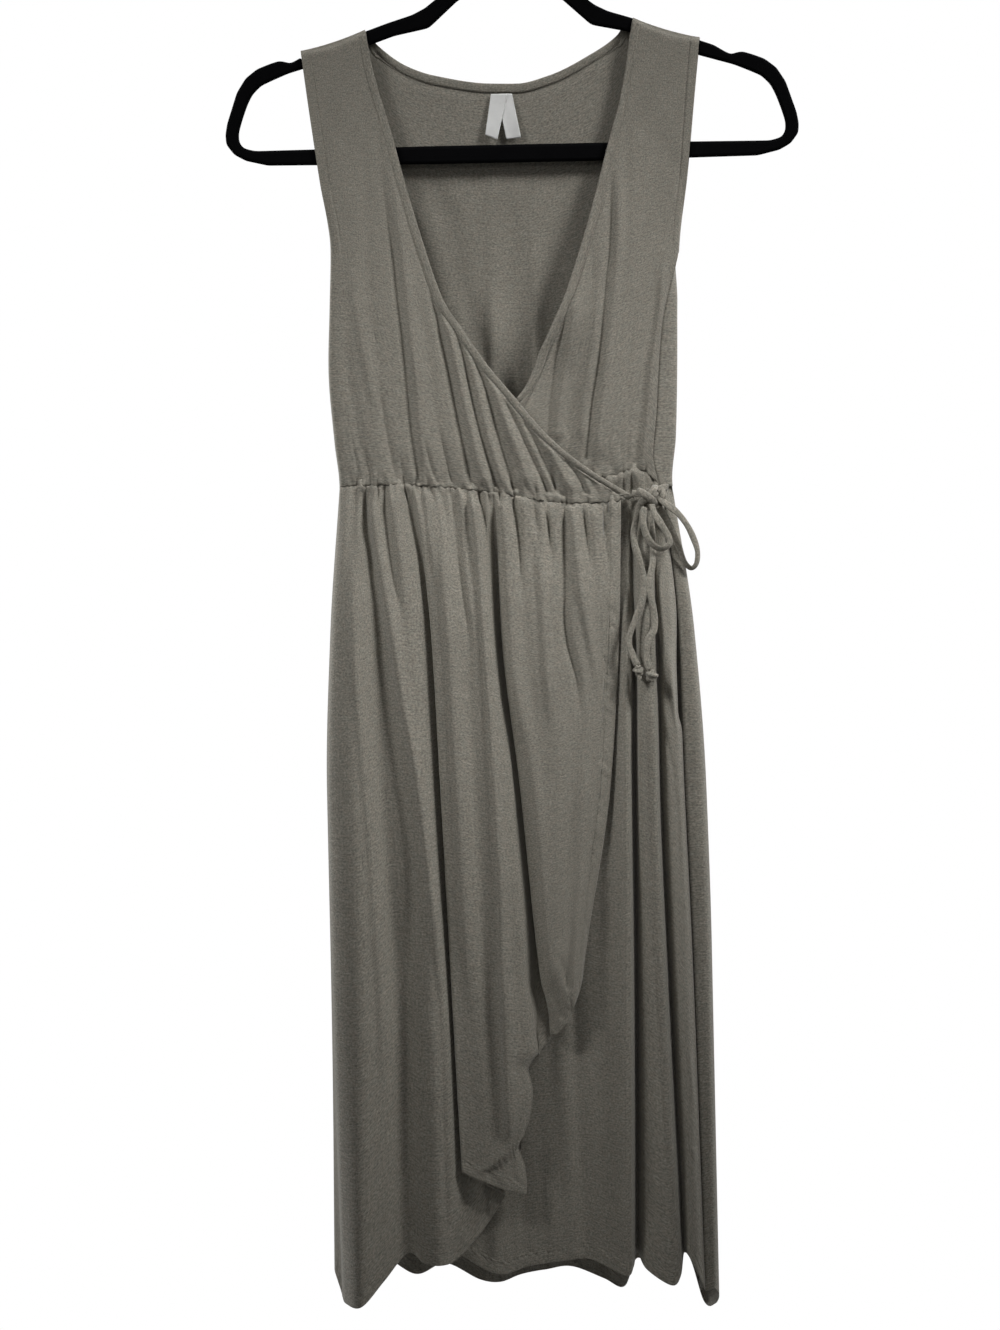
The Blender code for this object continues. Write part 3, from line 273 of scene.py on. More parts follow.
OVER_BODICE_FOLDS = fold_table("""
a_soft 4.5 -1.1 60 20 -115.2:-223 -114.5:-262 -114.5:-301 -113.8:-340 -110:-379 -106.1:-418 -101.3:-449 -95.8:-481
a_line 1.7 -1.1 40 6 -108.1:-402 -105.4:-422 -101.3:-449 -95.8:-483
b_crest 5.5 0.9 50 40 -125.7:-316 -123.3:-347 -118.5:-379 -113.6:-406 -109.5:-429
c_soft 3.2 -0.9 50 10 -132.1:-363 -129.8:-402 -125.8:-433 -121:-460 -114.5:-483
one 2.5 -2.5 130 4 -103.4:-216 -101.1:-255 -97.8:-278 -93.7:-309 -91.3:-340 -88.1:-371 -85.6:-403 -83.2:-434
  -80.6:-461 -78:-485
one_crest 4.6 1.6 100 30 -92.3:-239 -90.4:-263 -88:-294 -84.8:-325 -81.1:-372 -77.9:-403 -76.2:-434 -73:-469
one_b 4 -0.8 50 10 -73.5:-341 -70.2:-372 -67:-403 -63:-434 -58.2:-465 -53.9:-484
two 2.4 -3 14 3 -69.7:-311 -66.2:-327 -62.7:-345 -58.5:-368 -54.3:-389 -50.1:-413 -46:-436 -41.1:-462 -36.2:-487
two_crest 4 1.8 20 14 -60:-329 -55.7:-347 -50.8:-372 -45.9:-396 -41.7:-419 -36.8:-442 -31.1:-470 -26.9:-488
three 2 -2.3 14 3 -49.7:-355 -45.4:-371 -40.4:-394 -35.5:-419 -30.6:-442 -24.1:-466 -16.8:-488
three_crest 3 1.2 14 14 -38.5:-376 -34.3:-397 -29.3:-419 -24.4:-443 -17.9:-468 -11.4:-489
four 2.3 -2.8 12 3 -36.2:-377 -29.6:-396 -23:-416 -18:-437 -12.3:-460 -3.6:-490
four_crest 4 1.5 14 14 -20.4:-402 -14.6:-421 -8:-441 0.1:-463 8.8:-490
five 2.1 -2.4 10 3 -11.4:-418 -3.2:-435 6.4:-456 16:-478 22.7:-493
six 2.2 -2.5 10 3 4.5:-434 14.9:-457 24.5:-479 32.7:-496
six_crest 3.6 1.3 10 10 20.5:-451 30.2:-471 40.6:-492
seven 1.8 -2 8 3 36.5:-466 44:-478 52.9:-495
nick_a 1.5 -1.4 24 3 -74.1:-446 -69.1:-467 -64:-484
nick_b 1.5 -1.4 24 3 -60.8:-442 -56.6:-464 -51.6:-484
nick_c 1.2 -1 14 3 -92.3:-461 -88.9:-485
nick_d 1.3 -1.2 14 3 -31.9:-470 -26.9:-489
nick_e 1.2 -1 18 3 -118.6:-456 -113.7:-483
nick_f 1.2 -0.9 18 3 -129.3:-448 -123:-482
nick_g 1.2 -1.1 12 3 -11:-474 -5.2:-490
nick_h 1.2 -1 10 3 8.2:-481 12.6:-492
""")
UNDER_BODICE_FOLDS = fold_table("""
one 2.4 -2.3 20 4 39.1:-341 35.5:-362 31.2:-382 27.7:-405 24.9:-424 22.8:-451
one_b 1.8 -1.8 10 4 26.7:-377 18.5:-395 11.2:-412 3.9:-428
one_crest 4 1.4 30 10 48.5:-335 44.1:-359 40.6:-382 36.2:-405 32.6:-428 29.8:-452
two 2.8 -1.3 40 20 61:-293 59.7:-320 56.7:-351 51.5:-378 46.3:-404 41.1:-428 36.8:-452
two_crest 3 1 40 14 65.6:-336 61.1:-367 55.8:-398 51.4:-421 47.6:-452
three 2.3 -2.5 70 4 75.5:-235 75.4:-274 74.1:-301 70.4:-328 67.6:-351 64.7:-378 62:-398 57.6:-421 54.8:-444 52.7:-469
three_crest 4.8 1.2 60 20 82.9:-251 81:-305 77.1:-344 73.3:-375 68.8:-406 65:-437 61.3:-468
four 3.6 -1 60 14 89.1:-212 87.2:-266 85.6:-305 82.5:-344 78:-375 73.4:-406 68.7:-445 65.8:-476
five 1.6 -0.9 30 10 93.4:-344 88.8:-375 85.1:-406 81.3:-437 78.3:-468
five_b 1.4 -0.8 20 10 90.5:-406 86:-437 82.9:-472
six 2.8 -1.4 50 10 110.3:-313 106.4:-352 100.3:-383 96.5:-414 92.8:-445 89:-476
six_crest 3.2 1.2 50 10 115.7:-314 111.8:-352 105.6:-391 101.8:-422 98.1:-453 95.2:-476
""")
BACK_BODICE_FOLDS = fold_table("""
one 8.5 -1.7 40 50 -62.9:-245 -56.3:-263 -50.5:-283 -44.8:-306 -39.8:-330 -34.9:-353 -30:-377 -22.7:-402
one_crest 9 1.2 40 50 -77.3:-263 -67:-290 -58.3:-322 -51.1:-349 -42.4:-376
two 10 -1 60 60 -5.9:-264 -3.4:-296 -1.1:-334 1.9:-373 4.2:-412
two_crest 9 0.9 50 50 -19.8:-334 -15.1:-373 -11:-396
three_crest 9 0.8 50 50 18.3:-296 15.8:-343 11.9:-381
""")
Tuck = namedtuple("Tuck", "top_x top_z foot_x width height")
BACK_TUCKS = [Tuck(*row) for row in traced("""
-122:-419:-119:2.4:1.2 -102:-339:-107:4.2:1.3 -95:-429:-97:2:0.9 -73:-299:-82:5:1.5 -68:-409:-72:2.4:1
-59:-434:-60:1.9:0.9 -43:-349:-49:4:1.4 -34:-414:-35:2.4:1 -17:-279:-21:5.4:1.5 -12:-429:-11:2:0.8
1:-394:3:2.8:1.2 14:-319:19:4.6:1.4 29:-424:30:2.1:0.9 39:-369:44:3.4:1.3 56:-429:58:2.2:0.9
60:-309:69:4.8:1.4 81:-414:84:2.5:1.1 90:-349:97:4:1.3 104:-429:106:2.2:0.9
""")]

BACK_FOLDS = fold_table("""
a_line 2.4 -2 20 40 -122:-497 -128:-560 -131:-650 -131:-760
b_crest 4 2.4 30 60 -101:-505 -107:-600 -107:-720 -104:-850 -103:-1000
b_line 2.2 -2.2 20 60 -86:-495 -89:-560 -89:-660 -86:-780 -84:-880
c_crest 4.4 2.8 30 80 -63:-510 -64:-620 -61:-760 -56:-900 -53:-1060
c_line 2.6 -2.6 20 60 -49:-495 -48:-580 -45:-700 -40:-840 -35:-960
d_short 2.4 1.6 14 30 -24:-500 -23:-560 -20:-640
d_crest 5 2.4 40 80 -12:-520 -9:-640 -4:-780 2:-920 6:-1070
d_line 2.2 -2.4 20 60 1:-495 4:-600 8:-740 14:-880
e_short 2.2 1.5 12 24 13:-498 15:-560 17:-610
e_crest 4.6 2.8 30 80 29:-510 32:-620 37:-780 43:-940 48:-1070
e_line 2.6 -2.4 20 60 42:-495 46:-600 51:-740 58:-900
f_short 2.4 1.4 14 30 58:-500 63:-570 66:-640
f_crest 4.2 2.6 30 70 72:-510 81:-620 88:-780 92:-940 96:-1060
f_line 2.4 -2.2 20 60 86:-495 96:-600 103:-740 106:-880
g_crest 3.8 2 30 60 98:-515 109:-620 117:-760 121:-900
""")

TIE_ROUTES = {
    "tie_lead_over": traced("86.6:-14.7:-494.4 90.5:-15.2:-494.8 94.8:-15.2:-495.3"),
    "tie_lead_side": traced("114.5:-9:-490.5 110.8:-12.5:-490.6 106:-15:-493"),
    "tie_loop_small": traced("101.8:-19.5:-503.5 103.4:-21.5:-510.5 107.2:-22.5:-517 110.8:-22.5:-523 "
                              "114.4:-22.5:-529.8 114.3:-22.5:-535 108.2:-23:-538 101.4:-23:-534.4 97.2:-22.5:-527.8 "
                              "94.9:-21.8:-519.5 94.8:-21:-511.4 96.4:-20:-505.7"),
    "tie_loop_large": traced("106.6:-16.3:-498.1 112.9:-18.5:-503.5 121:-18:-510 128:-16.5:-519 133.2:-13.5:-529.3 "
                              "136.5:-11:-540 135.6:-9.8:-549.6 131.4:-9.6:-553.2 126.4:-10.5:-548.5 122.8:-12.6:-538 "
                              "119.4:-13.6:-529 115.6:-13.8:-520.5 111.6:-14.2:-512.8 107.5:-14.6:-505.5"),
    "tie_end_left": traced("93.3:-16:-502.5 89:-17:-516 87.2:-18.5:-530 90.6:-21.5:-545 94:-24:-560 92.3:-26:-578.6 "
                            "85.2:-27:-596 81.4:-28:-609.4 84.4:-28.6:-620 87.4:-29.4:-627.4"),
    "tie_end_right": traced("100.6:-13.5:-503.2 100.9:-14.8:-515 101.7:-17.8:-533 101.5:-21.2:-548 98.3:-24.6:-566 "
                             "101.3:-26:-586 101.2:-28.4:-599.7 95.8:-29.4:-609.7 95:-30.4:-622 97.2:-31.1:-631.1"),
}
Knot = namedtuple("Knot", "name x y z radius squash")
KNOTS = [
    Knot("tie_knot", 101, -15, -496, 5.6, (1.0, 0.75, 0.8)),
    Knot("tie_knot_left", 88.6, -29.5, -631.6, 4.0, (1, 1, 1)),
    Knot("tie_knot_right", 98.2, -31.2, -635.8, 4.4, (1, 1, 1)),
]


# ---------------------------------------------------------------- camera
CAMERA_AT = (-18.1, -4000.0, -625.1)
VIEW_HEIGHT = 1032.0       # what the picture's height spans at the dress
ROLL = radians(1.2)        # the photo's own turn
SENSOR_HEIGHT = 24.0


def build_camera():
    data = bpy.data.cameras.new("camera")
    data.sensor_fit = "VERTICAL"
    data.sensor_height = SENSOR_HEIGHT
    data.lens = data.sensor_height * -CAMERA_AT[1] / VIEW_HEIGHT
    camera = bpy.data.objects.new("camera", data)
    bpy.context.scene.collection.objects.link(camera)
    right, up, back = Vector((cos(ROLL), 0, -sin(ROLL))), Vector((sin(ROLL), 0, cos(ROLL))), Vector((0, -1, 0))
    turn = Matrix((right, up, back)).transposed().to_4x4()
    camera.matrix_world = Matrix.Translation(Vector(CAMERA_AT) * MM) @ turn
    bpy.context.scene.camera = camera


# ---------------------------------------------------------------- curves, on arrays
def mix(a, b, t):
    return a + (b - a) * t


def ease(t):
    t = np.clip(t, 0.0, 1.0)
    return t * t * (3 - 2 * t)


def bell(t):
    return np.exp(-t * t)


def even(count, low=0.0, high=1.0):
    return np.linspace(low, high, count + 1)


def hermite(f, p1, p2, m1, m2):
    return ((2 * f**3 - 3 * f**2 + 1) * p1 + (f**3 - 2 * f**2 + f) * m1
            + (3 * f**2 - 2 * f**3) * p2 + (f**3 - f**2) * m2)


def spline(values, t):
    """Catmull-Rom through evenly numbered values; t counts them."""
    v = np.asarray(values, float)
    t = np.asarray(t, float)
    i = np.clip(t.astype(int), 0, len(v) - 2)
    v = np.concatenate(([2 * v[0] - v[1]], v, [2 * v[-1] - v[-2]]))
    p0, p1, p2, p3 = v[i], v[i + 1], v[i + 2], v[i + 3]
    return hermite(t - i, p1, p2, (p2 - p0) / 2, (p3 - p1) / 2)


def through_rows(stops, values, x):
    """Monotone cubic for each row: stops and values are (rows, n), x is (rows, m)."""
    step = np.diff(stops, axis=1)
    slope = np.diff(values, axis=1) / step
    a, b = slope[:, :-1], slope[:, 1:]
    inner = np.where(a * b > 0, 2 * a * b / np.where(np.abs(a + b) > 1e-12, a + b, 1), 0)
    tangent = np.concatenate((slope[:, :1], inner, slope[:, -1:]), axis=1)
    x = np.clip(x, stops[:, :1], stops[:, -1:])
    i = np.clip((x[:, :, None] >= stops[:, None, :]).sum(axis=2) - 1, 0, stops.shape[1] - 2)

    def at(table, k):
        return np.take_along_axis(table, k, 1)
    h = at(step, i)
    f = (x - at(stops, i)) / h
    return hermite(f, at(values, i), at(values, i + 1), at(tangent, i) * h, at(tangent, i + 1) * h)


def through(stops, values, x):
    x = np.asarray(x, float)
    row = np.asarray(stops, float)[None, :], np.asarray(values, float)[None, :]
    return through_rows(*row, x.reshape(1, -1)).reshape(x.shape)


def run_of(line):
    """The length along a line of points, 0 at its start."""
    return np.concatenate(([0], np.cumsum(np.linalg.norm(np.diff(line, axis=0), axis=1))))


def at_run(at, run, rows):
    """Rows of numbers, read between their places along the run."""
    return np.stack([np.interp(at, run, rows[:, k]) for k in range(rows.shape[1])], 1)


def unit(rows):
    return rows / np.maximum(np.linalg.norm(rows, axis=-1, keepdims=True), 1e-9)


def along(edge, t):
    line = np.array(edge, float)
    run = run_of(line)
    u = np.interp(np.asarray(t) * run[-1], run, np.arange(len(line)))
    return spline(line[:, 0], u), spline(line[:, 1], u)


def noise(u, v, cell_u, cell_v, seed):
    """Smooth random surface between about -1 and 1; a cell is one bump's half width."""
    rng = np.random.RandomState(seed)
    a, b = u / cell_u, v / cell_v
    a, b = a - a.min(), b - b.min()
    table = rng.uniform(-1, 1, (int(a.max()) + 5, int(b.max()) + 5))
    i, j = a.astype(int), b.astype(int)
    fa, fb = a - i, b - j

    def weights(f):
        return ((1 - f)**3 / 6, (3 * f**3 - 6 * f**2 + 4) / 6, (-3 * f**3 + 3 * f**2 + 3 * f + 1) / 6, f**3 / 6)
    wa, wb = weights(fa), weights(fb)
    total = sum(wa[p] * wb[q] * table[i + p, j + q] for p in range(4) for q in range(4))
    return 2.2 * total


# ---------------------------------------------------------------- cloth forms
def section(z):
    stops = [-s.z for s in SECTIONS]
    return [through(stops, [s[k] for s in SECTIONS], -z) for k in (1, 2, 3, 4)]


def oval(x, left, right, half):
    """The half depth at x of a rounded flat oval."""
    u = np.minimum(np.abs((x - (left + right) / 2) / ((right - left) / 2)), 1.0)
    return half * (1 - u**SECTION_POWER) ** (1 / SECTION_POWER)


def depth(x, z, side):
    left, right, front, back = section(z)
    flat = oval(x, left, right, front if side == "front" else back)
    armhole = SHOULDER_ROLL * ease((z - UNDERARM_Z) / 90.0)
    return np.where(z > UNDERARM_Z, np.maximum(flat, armhole), flat)


RIDGE_GAIN, VALLEY_GAIN = 1.7, 1.15    # the shown folds, over their traced heights
VALLEY_SPREAD = 1.2
STEEP_SIDE, GENTLE_SIDE = 1.45, 0.8    # a ridge's side that faces left is the steeper one
FADE_PAST = 0.3                        # the part of a fade that lies past the traced end


def fold_relief(folds, x, z):
    """How far the folds' ridges stand out; a valley's height is negative."""
    total = np.zeros_like(x)
    for fold in folds:
        path = np.array(fold.path)
        dx = (x - through(-path[:, 1], path[:, 0], -z)) / fold.width
        if fold.height > 0:
            dx, gain = dx * np.where(dx < 0, STEEP_SIDE, GENTLE_SIDE), RIDGE_GAIN
        else:
            dx, gain = dx / VALLEY_SPREAD, VALLEY_GAIN
        reach = ease((path[0, 1] - z) / fold.fade_top + FADE_PAST)
        reach = reach * ease((z - path[-1, 1]) / fold.fade_foot + FADE_PAST)
        total += gain * fold.height * reach * bell(dx)
    return total


def tuck_fold(tuck):
    """A tuck gathered into the back's waist seam, as a fold that grows towards its foot."""
    middle = (round(mix(tuck.top_x, tuck.foot_x, 0.6), 1), round(mix(tuck.top_z, BACK_WAIST_Z, 0.55)))
    path = [(tuck.top_x, tuck.top_z), middle, (tuck.foot_x, BACK_WAIST_Z + 2)]
    return Fold("tuck", tuck.width, tuck.height, int(1.15 * (tuck.top_z - BACK_WAIST_Z)), 4, path)


def gather_wave(valleys, x):
    """-1 at each valley, +1 half way between two."""
    v = np.asarray(valleys, float)
    outside = np.maximum(v[0] - x, x - v[-1])
    i = np.clip(np.searchsorted(v, x) - 1, 0, len(v) - 2)
    f = (x - v[i]) / (v[i + 1] - v[i])
    return np.where(outside >= 0, -np.cos(pi * np.clip(outside / GATHER_HALF, 0, 1)), -np.cos(2 * pi * f))


SHOULDER_SAG = 1.6         # the cloth's dip between the strap's corners


def shoulder_dip(x):
    """How far the strap's top edge lies below the straight line between its corners."""
    left, right = ((x - a.x) / (b.x - a.x) for a, b in (LEFT_SHOULDER, RIGHT_SHOULDER))
    across = np.clip(np.where(x < 0, left, right), 0, 1)
    return SHOULDER_SAG * 4 * across * (1 - across)


def shoulder_z(x):
    def line(ends):
        a, b = ends
        return a.z + (b.z - a.z) * (x - a.x) / (b.x - a.x)
    return np.where(x < 0, line(LEFT_SHOULDER), line(RIGHT_SHOULDER)) - shoulder_dip(x)


def roll_over(x, z, flat):
    lean = 1 - np.clip((shoulder_z(x) - z) / SHOULDER_ROLL, 0.0, 1.0)
    return flat * (1 - lean * lean) ** 0.5


SHOULDER_GAP = 0.3         # each strap end's distance from the shoulder seam's middle
SHOULDER_REACH = 2.2       # over which a strap's end comes in to that


def close_shoulder(y, down):
    """Brings the end of a strap to the shoulder seam; down is the distance below it."""
    return mix(SHOULDER_GAP, y, ease(down / SHOULDER_REACH))


def left_side(t):
    z = mix(LEFT_SHOULDER[0].z, OVER_WAIST[0].z, t)
    return section(z)[0], z


def right_side_front(t):
    z = mix(RIGHT_SHOULDER[-1].z, UNDER_WAIST[-1].z, t)
    seam = through([-e.z for e in RIGHT_SEAM], [e.x for e in RIGHT_SEAM], -z)
    return np.where(z > UNDERARM_Z, section(z)[1], seam), z


def over_front(x, z):
    return depth(x, z, "front")


UNDER_BACK, UNDER_LOW = 6.8, 1.0    # how far the under side lies back where it is covered, and at its waist
COVERED_X, COVERED_Z, LOW_Z = 72, -345, -440


def under_front(x, z):
    covered = ease((COVERED_X - x) / 40) * ease((COVERED_Z - z) / 60)
    return depth(x, z, "front") - UNDER_BACK * covered - UNDER_LOW * ease((LOW_Z - z) / 40)


BAND_WIDTH = 6.2           # the neck binding's width on the cloth
BAND_DITCH = 0.9           # the cloth drawn in along its seam
ARM_HEM, ARM_STITCH = 6.4, 7.0    # from the armhole's edge to its turned layer's end and to its stitches
ARM_FADE = 12              # over which both begin above the underarm


def armhole_hem(d):
    """The armhole's turned edge, two layers thick, and the groove of its stitches."""
    return 0.4 * (1 - ease(d - ARM_HEM)) - 0.45 * bell((d - ARM_STITCH) / 0.9)


def bodice(u, v, top, foot, left, right, folds, form, gathers):
    """Coons patch in the front plane, pushed out to the garment's depth; u, v are arrays."""
    over = top is LEFT_SHOULDER
    (tx, tz), (fx, fz), (lx, lz), (rx, rz) = along(top, u), along(foot, u), left(v), right(v)
    corners = [np.array(c) for c in (top[0], top[-1], foot[0], foot[-1])]
    flat_x, flat_z = (mix(mix(corners[0][k], corners[1][k], u), mix(corners[2][k], corners[3][k], u), v)
                      for k in (0, 1))
    x = mix(tx, fx, v) + mix(lx, rx, u) - flat_x
    z = mix(tz, fz, v) + mix(lz, rz, u) - flat_z
    # the neck edge ends a little above the waist's corner: let it come down to it
    ends = [edge(np.ones(1))[1][0] - corner[1] for edge, corner in ((left, corners[2]), (right, corners[3]))]
    z = z - mix(*ends, u) * ease((v - 0.85) / 0.15)
    above = (1 - v) * np.abs(tz - fz)
    z = z - shoulder_dip(tx) * (1 - ease(v / 0.12)) + seam_wave(x) * (1 - ease(above / 12))
    across = np.abs(rx - lx)
    neck, arm = (across * (1 - u), across * u) if over else (across * u, across * (1 - u))
    sides = section(z)
    fade = ease(np.minimum(np.abs(x - sides[0]), np.abs(x - sides[1])) / SIDE_FADE)
    fade = fade * mix(0.12, 1.0, ease((neck - BAND_WIDTH) / 5))
    y = form(x, z) - BAND_DITCH * bell((neck - BAND_WIDTH - 0.9) / 1.1) * ease((v - 0.2) / 0.3)
    y = y + fold_relief(folds, x, z) * fade
    lift = FRONT_GATHER * (1 if over else UNDER_SHARE)
    y = y + lift * gather_wave(gathers, x) * fade * ease((v - 0.95) / 0.05)
    y = y + armhole_hem(arm) * ease((z - UNDERARM_Z) / ARM_FADE)
    y = y + shirring(x, above, WAIST_SEEDS[0 if over else 1], BODICE_TUCK) * fade
    y = y - SEAM_DITCH * bell(above / SEAM_HALF)
    y = y + wrinkles(BODICE_WRINKLES, x, z, BODICE_SEEDS[0 if over else 1], z - WAIST_Z) * fade
    y = close_shoulder(np.maximum(roll_over(x, z, y), SIDE_EDGE), shoulder_z(x) - shoulder_dip(x) - z)
    return seen(np.stack((x, -y, z), -1))


def over_bodice(u, v):
    return bodice(u, v, LEFT_SHOULDER, OVER_WAIST, left_side, lambda t: along(OVER_NECK, t),
                  OVER_BODICE_FOLDS, over_front, OVER_GATHERS)


def under_bodice(u, v):
    return bodice(u, v, RIGHT_SHOULDER, UNDER_WAIST, lambda t: along(UNDER_NECK, t), right_side_front,
                  UNDER_BODICE_FOLDS, under_front, UNDER_GATHERS)


def seam_wave(x):
    """The gathered waist seam's small unevenness, up and down."""
    return 0.5 * np.sin(1.31 * x + 1.4 * np.sin(0.37 * x)) + 0.3 * np.sin(0.71 * x + 2.0)


UNDER_SHARE = 0.4          # how much shallower the gathers are where the under side shows
WAIST_SEEDS = (31, 32, 30)    # the tucks at the over, the under and the back waist
BODICE_TUCK, SKIRT_TUCK = 13, 17    # how far a tuck usually runs from the waist seam
TUCK_STEP, TUCK_DEPTH, TUCK_HALF, TUCK_LEAN = (3.2, 7.4), (0.7, 1.7), (0.9, 1.4), (-0.12, 0.12)
TUCKS_FROM, TUCKS_TO = -150.0, 130.0


def shirring(x, up, seed, reach):
    """Short sharp tucks at the gathered seam, unevenly spaced; up is the distance from it."""
    rng = np.random.RandomState(seed)
    total, at = np.zeros_like(x), TUCKS_FROM
    beside_knot = mix(0.35, 1.0, ease((86 - x) / 8)) * ease((104 - x) / 6)
    while at < TUCKS_TO:
        at += rng.uniform(*TUCK_STEP)
        length, deep, lean = reach * rng.uniform(0.5, 1.5), rng.uniform(*TUCK_DEPTH), rng.uniform(*TUCK_LEAN)
        tuck = bell((x - at - lean * up) / rng.uniform(*TUCK_HALF))
        total -= deep * tuck * beside_knot * (1 - ease(up / length))
    return total


Wrinkle = namedtuple("Wrinkle", "height cell_x cell_z start reach")
BODICE_WRINKLES = (        # soft ones that run down, finer ones, and small puckers at the gathered seam
    Wrinkle(0.7, 9, 70, 1.15, 330), Wrinkle(0.45, 3.2, 26, 1, 90), Wrinkle(1.2, 2.1, 9, 1, 20))
SKIRT_WRINKLES = (
    Wrinkle(0.9, 8, 150, 0, -50), Wrinkle(0.7, 3.4, 38, 1, 130), Wrinkle(1.4, 2.1, 12, 1, 24))


def wrinkles(rows, x, z, seed, away):
    """Layers of uneven wrinkles that fade away from the waist seam, or grow where the reach is negative."""
    return sum(row.height * noise(x, z, row.cell_x, row.cell_z, seed + 40 * k) * ease(row.start - away / row.reach)
               for k, row in enumerate(rows))


def back_bodice(u, v):
    """u from the left seam round the back to the right one, v from the top down."""
    top = LEFT_SHOULDER + BACK_NECK[1:-1] + RIGHT_SHOULDER
    round_back = np.minimum(u / WRAP_START, 1.0)
    x_top = mix(LEFT_SHOULDER[0].x, RIGHT_SHOULDER[-1].x, round_back)
    z_top = np.interp(x_top, [p.x for p in top], [p.z for p in top])
    neck = through([p.x for p in BACK_NECK], [p.z for p in BACK_NECK], x_top)
    in_neck = (x_top > BACK_NECK[0].x) & (x_top < BACK_NECK[-1].x)
    z_top = np.where(in_neck, neck, z_top - shoulder_dip(x_top))
    z = mix(z_top, BACK_WAIST_Z, v)
    left, right, _, _ = section(z)
    corner = right - ARMHOLE_STRIP * (1 - ease((UNDERARM_Z + 10 - z) / 50))
    x = mix(left, corner, round_back)
    side = np.minimum(x - left, right - x)
    fade = ease(side / SIDE_FADE)
    above = np.maximum(z - BACK_WAIST_Z, 0)
    y = depth(x, z, "back") - fold_relief(BACK_BODICE_FOLDS + [tuck_fold(t) for t in BACK_TUCKS], x, z) * fade
    y = y + BACK_GATHER * gather_wave(BACK_GATHERS, x) * fade * ease((v - 0.93) / 0.07)
    y = y + wrinkles(BODICE_WRINKLES, x, z, BODICE_SEEDS[2], z - BACK_WAIST_Z) * fade
    y = y + shirring(x, above, WAIST_SEEDS[2], BODICE_TUCK) * fade - SEAM_DITCH * bell(above / SEAM_HALF)
    y = y + armhole_hem(side) * ease((z - UNDERARM_Z) / ARM_FADE)
    y = y + BAND_DITCH * bell((z_top - z - BAND_WIDTH - 1.2) / 1.1) * in_neck
    y = np.maximum(roll_over(x, z, y), SIDE_EDGE)
    strap = ease(np.maximum(BACK_NECK[0].x - x_top, x_top - BACK_NECK[-1].x) / 3)
    y = mix(y, close_shoulder(y, z_top - z), strap)
    # the strip that comes forward to the right side seam
    t = np.clip((u - WRAP_START) / (1 - WRAP_START), 0, 1)
    start = np.maximum(depth(corner, z, "back"), SIDE_EDGE)
    seam = through([-e.z for e in RIGHT_SEAM], [e.x for e in RIGHT_SEAM], -z) + 0.9
    low = z <= UNDERARM_Z
    end_x = np.where(low, seam, right)
    end_y = np.where(low, SIDE_EDGE - depth(seam, z, "front"), depth(right, z, "back"))
    wrap_y = roll_over(end_x, z, mix(start, end_y, t))
    wrap_y = np.where(low, wrap_y, np.maximum(wrap_y, SIDE_EDGE))
    wrap = u > WRAP_START
    return seen(np.stack((np.where(wrap, mix(corner, end_x, t * t), x), np.where(wrap, wrap_y, y), z), -1))


def waist_depth(x, half):
    return oval(x, SECTIONS[-2].left, SECTIONS[-2].right, half)


WAIST_ROWS = (0, 1, 2, 3.2, 4.6, 6.2, 8, 10, 12.5, 15.5, 19, 23, 27.5, 32.5, 38, 44, 50.5, 57.5, 65, 73)
HEM_ROWS = (15, 12.4, 11.2, 10.4, 9.9, 9.4, 8.9, 8.4, 7.8, 6.6, 4.6, 2.6, 1.2, 0.4, 0)
HEM_WIDTH = 9.4            # the turned hem, stitched along its upper edge
STITCH_IN = 8.2            # from the hem's edge to its stitches


def row_heights(top_z, hem_z, middle):
    """Rows at fixed distances from the waist and from the hem, evenly spread between."""
    top = top_z[:, None] - np.array(WAIST_ROWS, float)[None, :]
    foot = hem_z[:, None] + np.array(HEM_ROWS, float)[None, :]
    between = mix(top[:, -1:], foot[:, :1], np.linspace(0, 1, middle + 2)[None, 1:-1])
    return np.concatenate((top, between, foot), axis=1)


def segment_distance(p, a, b):
    ab = b - a
    f = np.clip(((p - a) * ab).sum(-1) / np.maximum((ab * ab).sum(-1), 1e-9), 0, 1)
    return np.linalg.norm(p - a - ab * f[..., None], axis=-1)


def border_distance(points, axis, window=16, reach=60):
    """Distance on the cloth to its last row (axis 1) or last column (axis 0), near that edge."""
    p = points if axis == 1 else np.swapaxes(points, 0, 1)
    count = p.shape[0]
    best = np.full(p.shape[:2], 1e3)
    near = slice(max(p.shape[1] - reach, 0), p.shape[1])
    edge = p[:, -1]
    for k in range(-window, window):
        i = np.clip(np.arange(count) + k, 0, count - 2)
        d = segment_distance(p[:, near], edge[i][:, None], edge[i + 1][:, None])
        best[:, near] = np.minimum(best[:, near], d)
    return best if axis == 1 else best.T


def hem_relief(d, along_edge, seed):
    """Two layers at the turned hem, a drawn stitch row, and the puckers it pulls."""
    band = 0.45 * (1 - ease(d - HEM_WIDTH + 0.5)) * ease(d / 0.8 + 0.4)
    groove = -0.35 * bell((d - STITCH_IN) / 0.7)
    pull = 0.42 * noise(along_edge + 0.35 * d, d, 1.9, 30, seed) * ease(d / 3) * (1 - ease((d - 8) / 5))
    return band + groove + pull


def seen(points):
    """Puts each point where the front view's tables have it, for the camera's distance."""
    near = 1 + points[..., 1:2] / -CAMERA_AT[1]
    centre = np.array([CAMERA_AT[0], 0, CAMERA_AT[2]])
    moved = centre + (points - centre) * near
    return np.stack((moved[..., 0], points[..., 1], moved[..., 2]), -1)


SEAM_DITCH, SEAM_HALF = 0.5, 1.3    # how far the cloth dips at the waist seam, and how wide
FLAP_LINE = traced("-39:-1018.5 -31:-1014 -20:-1007 -11:-1001.5 -4:-996")    # the fold's crease
FLAP_BACK, FLAP_TOP_Z = 2.6, -985    # how far the turned corner lies behind the hem that crosses it


